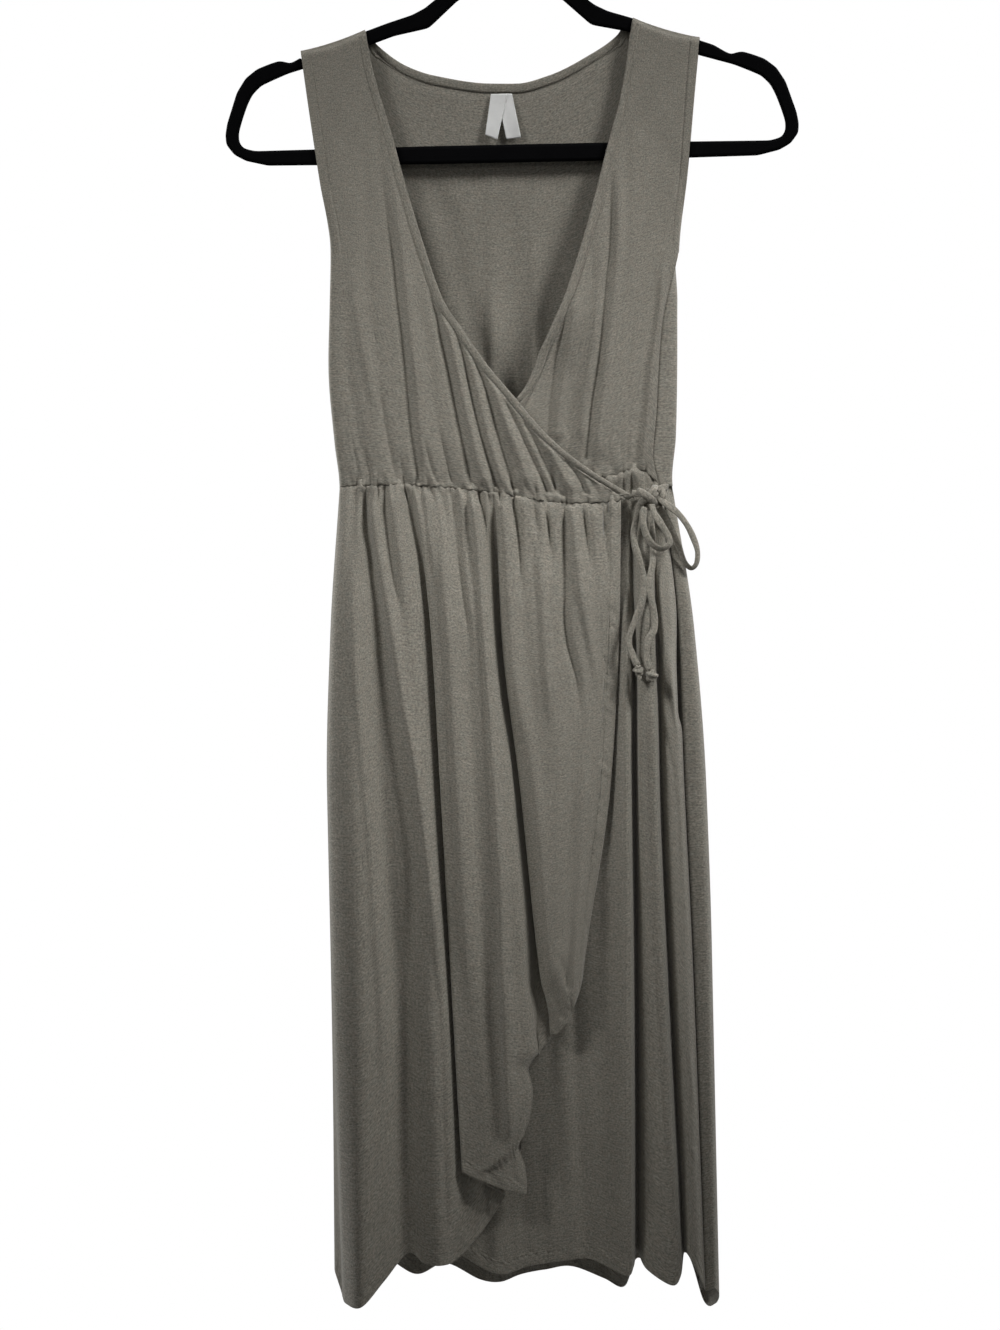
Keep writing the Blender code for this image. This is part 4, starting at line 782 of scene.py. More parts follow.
def flap_step(x, z):
    """The hem's folded corner, tucked behind the cloth above it."""
    below = np.interp(x, *zip(*FLAP_LINE)) - z
    inside = ease((x - FLAP_LINE[0][0]) / 5) * ease((FLAP_TOP_Z - z) / 8)
    lip = 0.9 * bell((below + 1.6) / 1.5) * ease((x + 45) / 8)
    return FLAP_BACK * ease(below + 0.5) * inside - lip * (z < FLAP_TOP_Z)


EDGE_WAVE = traced("-1060:0 -1034:0 -1014:-1.8 -1001.5:-5.6 -990:-2.5 -975.6:2.1 -958.6:3.7 -948:2.4 "
                   "-939.8:-0.5 -933:2.5 -925.9:8.3 -912:5.5 -895:4 -870:0 -800:0")    # height, way out


def edge_wave(x, z):
    """The free edge's waves around the hem's upper tip."""
    return through(*zip(*EDGE_WAVE), z) * ease((x + 20) / 13) * ease((38 - x) / 16)


POCKET_TOP_Z, POCKET_FOOT_Z = -575.0, -679.0
POCKET_GAPE = (-2.6, -2.4)    # how far the opening's front edge stands off the seam, in x and y


def pocket_gape(t, z, last):
    """0 to 1 along the pocket's opening in the right side seam, widest low down."""
    high = ease((POCKET_TOP_Z - z) / 60) * ease((z - POCKET_FOOT_Z) / 14)
    return high * ease((t - last + 1.3) / 1.3)[:, None]


EDGE_LAY = 3.0             # how much nearer the over skirt's free edge lies to the skirt below
LAY_WIDTH, LAY_FROM, LAY_TO = 90, -520, -985    # over this width beside it, between these heights
MEET_REACH = 18            # over which the skirt's top comes to the bodice's foot


def edge_line(z):
    """Where the over skirt's free edge runs."""
    return through([-WAIST_Z, -HIP_Z, -THIGH_Z, -KNEE_Z, 1150], list(OVER_SKIRT_LINES[-1][1:6]), -z)


def level_stops(top_z, hem_z):
    """Each column's heights of the table's levels, counted downwards."""
    return np.stack([-top_z] + [np.full_like(top_z, -h) for h in (HIP_Z, THIGH_Z, KNEE_Z)] + [-hem_z], 1)


def hung_panel(lines, waist, waist_half, t, middle):
    """The panel's plain form: x, y, z on a grid with one column for each t."""
    table = np.array([line[1:] for line in lines], float)
    top_x, hem_z = spline(table[:, 0], t), spline(table[:, 5], t)
    seam_x, seam_z = along(waist, even(200))
    top_z = np.interp(top_x, seam_x, seam_z) - WAIST_GAP + seam_wave(top_x)
    front = -1 if lines[1].hip_y < 0 else 1
    top_y = front * np.maximum(waist_depth(top_x, waist_half), SIDE_EDGE)
    if lines is BACK_SKIRT_LINES:
        top_y = np.where(t > len(lines) - 3, SIDE_EDGE - waist_depth(top_x, UNDER_WAIST_HALF), top_y)
    z = row_heights(top_z, hem_z, middle)
    levels = level_stops(top_z, hem_z)
    xs = np.stack([top_x] + [spline(table[:, k], t) for k in (1, 2, 3, 4)], 1)
    ys = np.stack([top_y] + [spline(table[:, k], t) for k in (6, 7, 8)], 1)
    return through_rows(levels, xs, -z), through_rows(levels[:, [0, 1, 3, 4]], ys, -z), z


def meet_bodice(y, top_x, down, upper, front, tucks, joins):
    """Brings the skirt's top to the bodice's foot."""
    across = even(300) * (1 if front < 0 else WRAP_START)
    foot = upper(across, np.ones_like(across))
    pressed = front * (SEAM_DITCH - tucks(top_x, np.zeros_like(top_x)))
    rise = (np.interp(top_x, foot[:, 0], foot[:, 1]) + pressed - y[:, 0]) * joins
    return y + rise[:, None] * (1 - ease(down / MEET_REACH))


def skirt(lines, waist, gathers, waist_half, t, middle, upper, folds):
    """t counts the table's lines, one value a column; middle is the number of rows between the close ones."""
    x, y, z = hung_panel(lines, waist, waist_half, t, middle)
    front = -1 if lines[1].hip_y < 0 else 1
    over, under = lines is OVER_SKIRT_LINES, lines is UNDER_SKIRT_LINES
    which = 0 if over else 1 if under else 2
    seed = SKIRT_SEEDS[which]
    ends = ease(np.minimum(t, len(lines) - 1 - t) / 1.2)[:, None]
    top_x = x[:, 0]
    down = z[:, :1] - z
    deep = GATHER_DEPTH * (UNDER_SHARE if under else 1)
    y = y + front * deep * gather_wave(gathers, top_x)[:, None] * (1 - ease(down / GATHER_REACH)) * ends
    wide = np.broadcast_to(top_x[:, None] * 1.15, z.shape)
    y = y + front * (wrinkles(SKIRT_WRINKLES, wide, z, seed, down) + fold_relief(folds, x, z)) * ends

    def tucks(at_x, below):
        return shirring(at_x, below, WAIST_SEEDS[which], SKIRT_TUCK)
    joins = ease((len(lines) - (2 if front < 0 else 3) - t) / 1.5 + 1)
    y = meet_bodice(y, top_x, down, upper, front, tucks, joins)
    y = y + front * tucks(np.broadcast_to(top_x[:, None], z.shape), down) * ends
    y = y - front * SEAM_DITCH * bell(down / SEAM_HALF)
    if over:
        y = y + flap_step(x, z)
        x = x + edge_wave(x, z)
        lay = ease(1 - (x[-1:] - x) / LAY_WIDTH) * ease((LAY_FROM - z) / 110) * ease((z - LAY_TO) / 60)
        y = y + EDGE_LAY * lay
    if under:
        y = y - EDGE_LAY * 0.8 * bell((x - edge_line(z) - 4) / 26) * ease((-535 - z) / 60)
        gape = pocket_gape(t, z, len(lines) - 1)
        x, y = x + POCKET_GAPE[0] * gape, y + POCKET_GAPE[1] * gape
    points = np.stack((x, y, z), -1)
    d = border_distance(points, 1)
    if over:
        d = np.minimum(d, border_distance(points, 0))
    points[..., 1] += front * hem_relief(d, run_of(points[:, -1])[:, None] + 0.9 * points[..., 2], seed + 7)
    return seen(points), d


def over_skirt(t, middle):
    return skirt(OVER_SKIRT_LINES, OVER_WAIST, OVER_GATHERS, OVER_WAIST_HALF, t, middle, over_bodice, OVER_FOLDS)


def under_skirt(t, middle):
    return skirt(UNDER_SKIRT_LINES, UNDER_WAIST, UNDER_GATHERS, UNDER_WAIST_HALF, t, middle, under_bodice, UNDER_FOLDS)


def back_skirt(t, middle):
    waist = [Edge(-139.4, BACK_WAIST_Z), Edge(118.3, BACK_WAIST_Z)]
    return skirt(BACK_SKIRT_LINES, waist, BACK_GATHERS, BACK_WAIST_HALF, t, middle, back_bodice, BACK_FOLDS)


# ---------------------------------------------------------------- Blender helpers
def add_object(name, data, mat):
    obj = bpy.data.objects.new(name, data)
    obj.data.materials.append(mat)
    bpy.context.scene.collection.objects.link(obj)
    return obj


def flat_run(points, axis):
    """The cloth's length across a grid of points, the mean over its lines."""
    step = np.linalg.norm(np.diff(points, axis=axis), axis=2).mean(axis=1 - axis)
    return np.concatenate(([0], np.cumsum(step)))


def grid_object(name, points, mat, wall, cloth_u=None, cloth_v=None):
    """A sheet through a (columns, rows, 3) array in mm, thickened; its UVs are metres on the flat cloth."""
    columns, rows, _ = points.shape
    index = np.arange(columns * rows).reshape(columns, rows)
    quads = np.stack((index[:-1, :-1], index[:-1, 1:], index[1:, 1:], index[1:, :-1]), -1).reshape(-1, 4)
    mesh = bpy.data.meshes.new(name)
    mesh.vertices.add(columns * rows)
    mesh.vertices.foreach_set("co", (points * MM).ravel())
    mesh.loops.add(quads.size)
    mesh.loops.foreach_set("vertex_index", quads.ravel())
    mesh.polygons.add(len(quads))
    mesh.polygons.foreach_set("loop_start", np.arange(0, quads.size, 4))
    mesh.update(calc_edges=True)
    cloth_u = flat_run(points, 0) if cloth_u is None else cloth_u
    cloth_v = flat_run(points, 1) if cloth_v is None else cloth_v
    uv = np.stack(np.meshgrid(cloth_u, cloth_v, indexing="ij"), -1).reshape(-1, 2) * MM
    layer = mesh.uv_layers.new(name="cloth")
    layer.data.foreach_set("uv", uv[quads.ravel()].ravel())
    mesh.shade_smooth()
    obj = add_object(name, mesh, mat)
    if wall:
        solidify = obj.modifiers.new("wall", "SOLIDIFY")
        solidify.thickness = wall * MM
        solidify.offset = 0.0
    return obj


def spaced(point_rows, high, count, probe=1500):
    """Column values from 0 to high whose steps are equally long on the cloth."""
    t = np.linspace(0, high, probe)
    run = flat_run(point_rows(t), 0)
    return np.interp(np.linspace(0, run[-1], count + 1), run, t)


def turned_in(points, axis, last, steps):
    """Adds rows or columns past an edge: the seam allowance, which lies behind the next piece."""
    edge = np.take(points, [-1 if last else 0], axis)
    extra = [edge + np.array(step, float) for step in steps]
    return np.concatenate([points] + extra, axis) if last else np.concatenate(extra[::-1] + [points], axis)


def normals(points, front):
    """Unit normals of a grid of points, out of the dress."""
    n = unit(np.cross(np.gradient(points, axis=0), np.gradient(points, axis=1)))
    flip = np.sign(n[..., 1:2] * front)
    return n * np.where(flip == 0, 1, flip)


def level_line(points, distance, level):
    """For each column, the point on the cloth at that distance from its edge, the nearest to the edge."""
    line = []
    for column, d in zip(points, distance):
        hit = np.nonzero((d[:-1] > level) & (d[1:] <= level))[0]
        if len(hit):
            k = hit[-1]
            line.append(column[k] + (column[k + 1] - column[k]) * (d[k] - level) / (d[k] - d[k + 1]))
    return np.array(line)


STITCH = (2.3, 0.55, 0.5)  # length, width, height
HEM_LIFT, BAND_LIFT = 0.45, 0.1    # how far stitches lie off the points they follow
STITCH_STEP = 3.1


def stitch_verts(line, out, lift):
    """Stitches along a line, each a small stretched octahedron; out is the surface's normal there."""
    run = run_of(line)
    at = np.arange(STITCH_STEP, run[-1] - STITCH_STEP, STITCH_STEP)
    centre, normal = at_run(at, run, line), unit(at_run(at, run, out))
    forward = unit(at_run(at + 0.8, run, line) - centre)
    centre = centre + normal * lift
    arms = [way * size / 2 for way, size in zip((forward, np.cross(forward, normal), normal), STITCH)]
    return np.stack([centre + sign * arm for arm in arms for sign in (1, -1)], 1)


def stitches_object(name, groups, mat):
    verts = np.concatenate(groups)
    faces = [(a, b, c) if (a + b + c) % 2 else (a, c, b) for a in (0, 1) for b in (2, 3) for c in (4, 5)]
    index = (np.arange(len(verts))[:, None, None] * 6 + np.array(faces)[None]).reshape(-1, 3)
    mesh = bpy.data.meshes.new(name)
    mesh.from_pydata((verts.reshape(-1, 3) * MM).tolist(), [], index.tolist())
    mesh.shade_smooth()
    return add_object(name, mesh, mat)


WAIST_TURN = ((0, 0.5, 0.5), (0, 1.1, 1.6), (0, 1.3, 5.5))    # the allowance's steps up, y counted inwards
SEAM_TURN = ((-0.3, 1.2, 0), (-1.4, 5.0, 0), (-4.5, 8.0, 0))
LEFT_TURN = ((0.5, -0.4, 0), (1.5, -0.8, 0))
BODICE_TURN = ((-0.6, 0.5, 0), (-2.0, 1.2, 0), (-6.0, 1.8, 0))
EDGE_COLUMNS = 14          # close ones along the over skirt's free edge


def skirt_sheet(name, panel, mat):
    """The panel, with the stitch rows of its hem as (line, normals) pairs."""
    lines = panel.lines
    t = spaced(lambda t: panel.form(t, 4)[0], len(lines) - 1, panel.columns)
    over = lines is OVER_SKIRT_LINES
    if over:
        t = np.concatenate((t[t < t[-1] - 0.02], even(EDGE_COLUMNS, t[-1] - 0.9, t[-1])))
        t = np.unique(np.round(t, 4))
    points, distance = panel.form(t, panel.rows)
    front = -1 if lines[1].hip_y < 0 else 1
    grids = (points, distance, normals(points, front))
    rows = []
    for p, d, n in [grids] + [[np.swapaxes(g, 0, 1) for g in grids]] * over:
        rows.append((level_line(p, d, STITCH_IN), level_line(n, d, STITCH_IN)))
    points = turned_in(points, 1, False, [(x, -front * y, z) for x, y, z in WAIST_TURN])
    if lines is BACK_SKIRT_LINES:
        points = turned_in(turned_in(points, 0, True, SEAM_TURN), 0, False, LEFT_TURN)
    return grid_object(name, points, mat, SHELL), rows


def bodice_sheet(name, panel, mat):
    s = even(panel.rows)
    v = 0.6 * s + 0.4 * (1 - (1 - s)**2.0)    # rows draw closer towards the waist
    v = np.concatenate(([0, 0.0015, 0.004, 0.008, 0.013], v[v > 0.018]))
    points = panel.form(*np.meshgrid(even(panel.columns), v, indexing="ij"))
    if panel.form is back_bodice:
        points = turned_in(points, 0, True, BODICE_TURN)
    return grid_object(name, points, mat, SHELL)


# across an edge's binding: from the edge inwards, and out from the middle of the panel's wall
BAND_PROFILE = traced("1.6:-0.62 0.2:-0.6 -0.35:-0.25 -0.42:0.25 -0.1:0.72 0.7:0.98 2.2:0.92 4:0.9 4.7:0.74 "
                      "5.2:0.84 5.8:0.74 6.15:0.42 6.2:0.2")
BAND_STITCH = 8            # the profile's point that its stitches lie on
PROBE = 0.002              # a small step on the panel, to find the way across it


def band_sheet(band, mat, seed):
    """A binding folded over the panel's edge, made from the panel's own points."""
    s = even(band.stations)

    def panel(w):
        u, v = band.edge(s)
        return band.form(u + band.inward[0] * w, v + band.inward[1] * w)
    edge = panel(0 * s)
    across = (panel(0 * s + PROBE) - edge) / PROBE
    tangent = unit(np.gradient(edge, axis=0))
    square = np.linalg.norm(np.cross(across, tangent), axis=1)
    drawn = 0.07 * noise(np.arange(len(s)) * 1.0, 0.0 * s, 3.0, 1.0, seed)[:, None]
    columns, out = [], []
    for w, h in BAND_PROFILE:
        reach = np.maximum(w, 0) * band.width / BAND_WIDTH / square
        at = panel(reach)
        n = unit(np.cross(panel(reach + PROBE) - at, tangent))
        n *= np.where(n[:, 1:2] > 0, -1, 1)
        inner = np.cross(n, tangent)
        inner *= np.where((inner * across).sum(1, keepdims=True) < 0, -1, 1)
        columns.append(at + n * (h + drawn * (h > 0)) + inner * min(w, 0))
        out.append(n)
    points = np.stack(columns, 1)
    return grid_object(band.name, points, mat, 0), (points[:, BAND_STITCH], out[BAND_STITCH])


# ---------------------------------------------------------------- materials
class Nodes:
    """Short calls for one material's node tree."""

    def __init__(self, name):
        self.mat = bpy.data.materials.new(name)
        self.mat.use_nodes = True
        self.tree = self.mat.node_tree
        self.shader = self.tree.nodes["Principled BSDF"]

    def node(self, kind, inputs=None, **settings):
        made = self.tree.nodes.new(kind)
        for key, value in settings.items():
            setattr(made, key, value)
        for key, value in (inputs or {}).items():
            self.feed(made.inputs[key], value)
        return made

    def feed(self, socket, value):
        if isinstance(value, bpy.types.NodeSocket):
            self.tree.links.new(value, socket)
        else:
            socket.default_value = value

    def finish(self, **inputs):
        """Feeds the shader's inputs, their names written with underscores, and gives the material."""
        for name, value in inputs.items():
            self.feed(self.shader.inputs[name.replace("_", " ")], value)
        return self.mat

    def math(self, operation, *values):
        return self.node("ShaderNodeMath", dict(enumerate(values)), operation=operation).outputs[0]

    def place(self):
        return self.node("ShaderNodeTexCoord").outputs["Object"]

    def cloth(self, *scale):
        """The flat cloth's own coordinates, scaled on each axis."""
        uv = self.node("ShaderNodeUVMap", uv_map="cloth").outputs[0]
        return self.node("ShaderNodeMapping", {"Vector": uv, "Scale": scale + (1,)}).outputs[0]

    def speck(self, vector, scale, detail=2.0, rough=0.5):
        inputs = {"Vector": vector, "Scale": scale, "Detail": detail, "Roughness": rough}
        return self.node("ShaderNodeTexNoise", inputs).outputs[0]

    def ramp(self, value, low, high, dark, light):
        """Greys from dark at low to light at high."""
        made = self.node("ShaderNodeValToRGB", {0: value})
        for element, at, tone in zip(made.color_ramp.elements, (low, high), (dark, light)):
            element.position = at
            element.color = grey(tone)
        return made.outputs[0]

    def blend(self, factor, a, b, mode="MIX"):
        return self.node("ShaderNodeMix", {0: factor, 6: a, 7: b}, data_type="RGBA", blend_type=mode).outputs[2]

    def shade(self, base, value, low, high, dark, light):
        """Between two tones of the same colour."""
        factor = self.ramp(value, low, high, dark / 2, light / 2)
        return self.blend(1.0, base, self.blend(1.0, factor, grey(2.0), "MULTIPLY"), "MULTIPLY")

    def bump(self, height, distance, strength):
        return self.node("ShaderNodeBump", {"Height": height, "Distance": distance, "Strength": strength}).outputs[0]


def grey(v):
    return (v, v, v, 1)


def tinted(red, green, blue, tone=1.0):
    return (red * tone, green * tone, blue * tone, 1)


def jersey(name, tone=1.0):
    """Slub jersey: fine courses across the cloth, uneven thick yarns, heathered colour."""
    n = Nodes(name)
    courses = n.speck(n.cloth(95, 1500), 1.0, 4.0, 0.75)
    slubs = n.speck(n.cloth(34, 760), 1.0, 4.0, 0.7)
    wales = n.speck(n.cloth(1100, 90), 1.0, 2.0, 0.6)
    fibre = n.speck(n.cloth(1, 1.5), 520.0, 5.0, 0.75)
    mottle = n.speck(n.cloth(1, 1), 26.0, 3.0, 0.6)
    warm = n.speck(n.cloth(1, 1.6), 160.0, 4.0, 0.65)
    base = n.blend(n.ramp(warm, 0.40, 0.60, 0, 1), tinted(0.268, 0.245, 0.203, tone), tinted(0.252, 0.240, 0.202, tone))
    base = n.shade(base, slubs, 0.34, 0.68, 0.90, 1.09)
    base = n.shade(base, courses, 0.34, 0.66, 0.80, 1.20)
    base = n.shade(base, wales, 0.30, 0.70, 0.92, 1.08)
    base = n.shade(base, fibre, 0.36, 0.64, 0.58, 1.42)
    base = n.shade(base, mottle, 0.30, 0.70, 0.95, 1.03)
    height = n.math("ADD", n.math("MULTIPLY", courses, 0.5), n.math("MULTIPLY", slubs, 0.7))
    height = n.math("ADD", height, n.math("MULTIPLY", fibre, 0.6))
    # the grain is weaker where the cloth faces up or down, as seen over the shoulders
    up = n.node("ShaderNodeSeparateXYZ", {0: n.node("ShaderNodeNewGeometry").outputs["True Normal"]}).outputs[2]
    grain = n.ramp(n.math("ABSOLUTE", up), 0.35, 0.8, 0.5, 0.12)
    return n.finish(Base_Color=base, Roughness=n.math("MULTIPLY_ADD", slubs, 0.16, 0.76),
                    Normal=n.bump(height, 0.0004, grain), Sheen_Weight=0.25, Sheen_Roughness=0.5,
                    Specular_IOR_Level=0.25)


def thread():
    """Sewing thread in the cloth's colour."""
    n = Nodes("sewing thread")
    ply = n.speck(n.place(), 3000.0)
    return n.finish(Base_Color=n.blend(ply, tinted(0.20, 0.19, 0.155), tinted(0.34, 0.325, 0.27)),
                    Roughness=n.ramp(ply, 0, 1, 0.5, 0.7))


def velvet():
    """Short black flock with a soft edge sheen."""
    n = Nodes("velvet flock")
    where = n.place()
    pile = n.speck(where, 2600.0, 3.0, 0.7)
    colour = n.blend(pile, tinted(0.0012, 0.0012, 0.0015), tinted(0.0045, 0.0045, 0.005))
    colour = n.blend(n.speck(where, 60.0, 3.0, 0.6), colour, n.blend(1.0, colour, grey(1.5), "MULTIPLY"))
    return n.finish(Base_Color=colour, Normal=n.bump(pile, 0.0004, 0.5), Roughness=n.ramp(pile, 0, 1, 0.85, 1),
                    Specular_IOR_Level=0.03, Sheen_Weight=0.02, Sheen_Roughness=0.35)


def wire_metal():
    n = Nodes("polished wire")
    scratch = n.speck(n.place(), 400.0, 4.0, 0.7)
    return n.finish(Roughness=n.ramp(scratch, 0.3, 0.8, 0.12, 0.34), Metallic=1.0,
                    Base_Color=n.blend(scratch, tinted(0.62, 0.62, 0.63), tinted(0.72, 0.72, 0.73)))


def satin_tape():
    """White woven label tape."""
    n = Nodes("label tape")
    where = n.place()
    warp = n.node("ShaderNodeTexWave", {"Vector": where, "Scale": 900.0, "Distortion": 0.6}, bands_direction="Z")
    patch = n.speck(where, 120.0, 3.0, 0.6)
    return n.finish(Base_Color=n.blend(patch, tinted(0.80, 0.80, 0.78), tinted(0.93, 0.93, 0.91)),
                    Roughness=n.ramp(patch, 0, 1, 0.55, 0.75), Normal=n.bump(warp.outputs[0], 0.0002, 0.4))


def floor_paint():
    n = Nodes("studio floor")
    return n.finish(Base_Color=n.blend(n.speck(n.place(), 3.0), grey(0.80), grey(0.83)), Roughness=0.9)


# ---------------------------------------------------------------- ties
TIE_WIDTH = 5.4            # the flattened self-fabric tube
TIE_THICK, TURN_THICK = 1.9, 2.6    # the second over the knot
TAIL_WIDTH, TAIL_THICK = 4.2, 1.8
STRIP_RING = 14            # points round a tie


def smooth_path(route, count):
    p = np.array(route, float)
    run = run_of(p)
    u = np.interp(np.linspace(0, run[-1], count), run, np.arange(len(p)))
    return np.stack([spline(p[:, k], u) for k in range(3)], 1)


def rolled_strip(name, path, width, thick, mat, twist, seed):
    """A flattened tube along the path: its wide side faces out, turning slowly and a little uneven."""
    forward = unit(np.gradient(path, axis=0))
    run = run_of(path)
    side = unit(np.cross(forward, np.array([0.0, -1.0, 0.0])))
    out = np.cross(side, forward)
    angle = np.interp(run / run[-1], *zip(*twist))
    wave = noise(run, np.zeros_like(run), 5.0, 1.0, seed)
    w = width / 2 * (1 + 0.10 * wave)
    h = thick / 2 * (1 - 0.12 * wave)
    a = np.linspace(0, 2 * pi, STRIP_RING, endpoint=False)
    ca = np.sign(np.cos(a)) * np.abs(np.cos(a)) ** 0.8
    sa = np.sin(a)
    rows = []
    for i, point in enumerate(path):
        s = side[i] * cos(angle[i]) + out[i] * sin(angle[i])
        o = out[i] * cos(angle[i]) - side[i] * sin(angle[i])
        rows.append(point + np.outer(ca * w[i], s) + np.outer(sa * h[i] * (1 - 0.25 * ca**2), o))
    rows = np.array(rows)
    closed = np.concatenate((rows, rows[:, :1]), axis=1)
    obj = grid_object(name, closed, mat, 0, run, np.linspace(0, 2 * (width + thick), STRIP_RING + 1))
    merge_and_cap(obj.data)
    return obj


def merge_and_cap(mesh):
    """Joins a rolled grid at its seam and closes its ends."""
    bm = bmesh.new()
    bm.from_mesh(mesh)
    bmesh.ops.remove_doubles(bm, verts=bm.verts, dist=1e-7)
    bmesh.ops.holes_fill(bm, edges=[e for e in bm.edges if e.is_boundary], sides=0)
    bmesh.ops.recalc_face_normals(bm, faces=bm.faces)
    bm.to_mesh(mesh)
    bm.free()


TWISTS = {                 # each tie's turn about its path: the share of its length and radians
    "tie_lead_over": traced("0:0.2 1:0.3"),
    "tie_lead_side": traced("0:0.2 1:-0.2"),
    "tie_loop_small": traced("0:0.5 0.3:0.1 0.5:0.7 0.8:0.2 1:-0.3"),
    "tie_loop_large": traced("0:0.3 0.3:0.5 0.55:0.9 0.8:0.4 1:0.1"),
    "tie_end_left": traced("0:0.2 0.4:-0.5 0.7:0.4 1:0.1"),
    "tie_end_right": traced("0:-0.3 0.4:0.5 0.75:-0.4 1:0.2"),
}


def build_knot(knot, mat):
    """A pulled-tight knot: a soft lump with cloth turns wound round it."""
    a, b = np.meshgrid(np.linspace(0, 2 * pi, 41), np.linspace(0.02, pi - 0.02, 34), indexing="ij")
    turns = np.sin(5.2 * b + 1.6 * np.sin(a + knot.x) + 0.9 * np.sin(2 * a + 1.3))
    lumps = np.sin(3 * a + 2 * b + knot.z) * np.sin(b)**2
    r = knot.radius * (1 + 0.14 * turns + 0.10 * lumps + 0.04 * np.sin(7 * a + 5 * b))
    ways = (np.sin(b) * np.cos(a), np.sin(b) * np.sin(a), np.cos(b))
    points = [at + r * flat * way for at, flat, way in zip((knot.x, knot.y, knot.z), knot.squash, ways)]
    obj = grid_object(knot.name + "_cloth", np.stack(points, -1), mat, 0)
    merge_and_cap(obj.data)
    return settle(obj, "jersey", knot.name)


KNOT_TURNS = {
    "knot_turn_over": traced("91.6:-12.6:-492.6 92.6:-18:-493 96:-21.6:-495.4 100.2:-21.8:-498.6 103.4:-18.6:-502.4 "
                              "104.2:-13.8:-505"),
    "knot_turn_under": traced("104.6:-11.6:-489.4 104.4:-16.6:-490.4 102.4:-19.6:-493.2 99:-20:-497.6 95:-18:-500.6 "
                               "92.8:-13.4:-501.4"),
    "knot_turn_side": traced("107:-11.6:-503 109.4:-15.4:-501.4 110.6:-16.6:-497.6 109.8:-14.6:-493.4 "
                              "107.6:-11:-491.6"),
}

TIE_TAILS = {
    "tie_knot_left": traced("88.2:-29.6:-631.5 88.8:-30.2:-635.2 89.8:-30:-638.2"),
    "tie_knot_right": traced("98:-31.4:-636 98.8:-31.8:-640.2 98.2:-31.2:-643"),
}


def build_ties(mat):
    for k, (name, route) in enumerate(KNOT_TURNS.items()):
        turn = rolled_strip(name, smooth_path(route, 30), TIE_WIDTH, TURN_THICK, mat, [(0, 0), (1, 0)], TURN_SEED + k)
        settle(turn, "jersey", "tie_knot")
    knots = {knot.name: [build_knot(knot, mat)] for knot in KNOTS}
    for k, (name, route) in enumerate(TIE_TAILS.items()):
        path = smooth_path(route, 12)
        tail = rolled_strip(name + "_tail", path, TAIL_WIDTH, TAIL_THICK, mat, [(0, 0.3), (1, 0.7)], TAIL_SEED + k)
        knots[name].append(settle(tail, "jersey", name))
    for k, (name, route) in enumerate(TIE_ROUTES.items()):
        path = smooth_path(route, max(int(run_of(np.array(route))[-1] / 1.1), 12))
        obj = rolled_strip(name + "_cloth", path, TIE_WIDTH, TIE_THICK, mat, TWISTS[name], TIE_SEED + k)
        settle(obj, "jersey", name)
        if "lead" in name:
            continue


# ---------------------------------------------------------------- lights and floor
FLOOR_Z, FLOOR_SIZE = -1.95, 2.4
AMBIENT = 0.065            # the white surroundings' light on the dress; the camera sees them at 1
Lamp = namedtuple("Lamp", "name at to size power cone")
LAMPS = (                  # a row with a cone in degrees is a spot, the others are square
    Lamp("key", (1.37, -0.87, 0.86), (-0.01, 0, -0.51), 0.37, 275, 22),
    Lamp("key_left", (-1.37, -0.87, 0.86), (-0.01, 0, -0.49), 0.37, 168, 22),
    Lamp("soft_front", (0.3, -3.0, 0.8), (0, 0, -0.42), 0.5, 60, 14),
    Lamp("behind_left", (-1.9, 1.3, 0.5), (0, 0, -0.5), 0.9, 44, None),
    Lamp("behind_right", (1.9, 1.1, 0.6), (0, 0, -0.5), 0.9, 30, None),
)


def build_studio():
    world = bpy.data.worlds.new("studio")
    bpy.context.scene.world = world
    world.use_nodes = True
    tree = world.node_tree
    light, backdrop = tree.nodes["Background"], tree.nodes.new("ShaderNodeBackground")
    for node, strength in ((light, AMBIENT), (backdrop, 1.0)):
        node.inputs["Color"].default_value = (1, 1, 1, 1)
        node.inputs["Strength"].default_value = strength
    join = tree.nodes.new("ShaderNodeMixShader")
    ray = tree.nodes.new("ShaderNodeLightPath").outputs["Is Camera Ray"]
    for socket, made in zip(join.inputs, (ray, light.outputs[0], backdrop.outputs[0])):
        tree.links.new(made, socket)
    tree.links.new(join.outputs[0], tree.nodes["World Output"].inputs["Surface"])
    for lamp in LAMPS:
        build_lamp(lamp)
    bpy.ops.mesh.primitive_plane_add(size=FLOOR_SIZE, location=(0, 0, FLOOR_Z))
    floor = bpy.context.object
    floor.name = "floor"
    floor.data.materials.append(floor_paint())


def build_lamp(lamp):
    """A spot's pool of light fades out over its whole cone."""
    data = bpy.data.lights.new(lamp.name, "SPOT" if lamp.cone else "AREA")
    if lamp.cone:
        data.shadow_soft_size, data.spot_size, data.spot_blend = lamp.size, radians(lamp.cone), 1.0
    else:
        data.size = lamp.size
    data.energy = lamp.power
    obj = bpy.data.objects.new(lamp.name, data)
    obj.location = lamp.at
    obj.rotation_euler = (Vector(lamp.to) - Vector(lamp.at)).to_track_quat("-Z", "Y").to_euler()
    obj.visible_camera = False
    bpy.context.scene.collection.objects.link(obj)


# ---------------------------------------------------------------- pieces
def settle(obj, slot, *nodes):
    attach(obj, "root")
    if nodes:
        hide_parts(*nodes)
    return obj


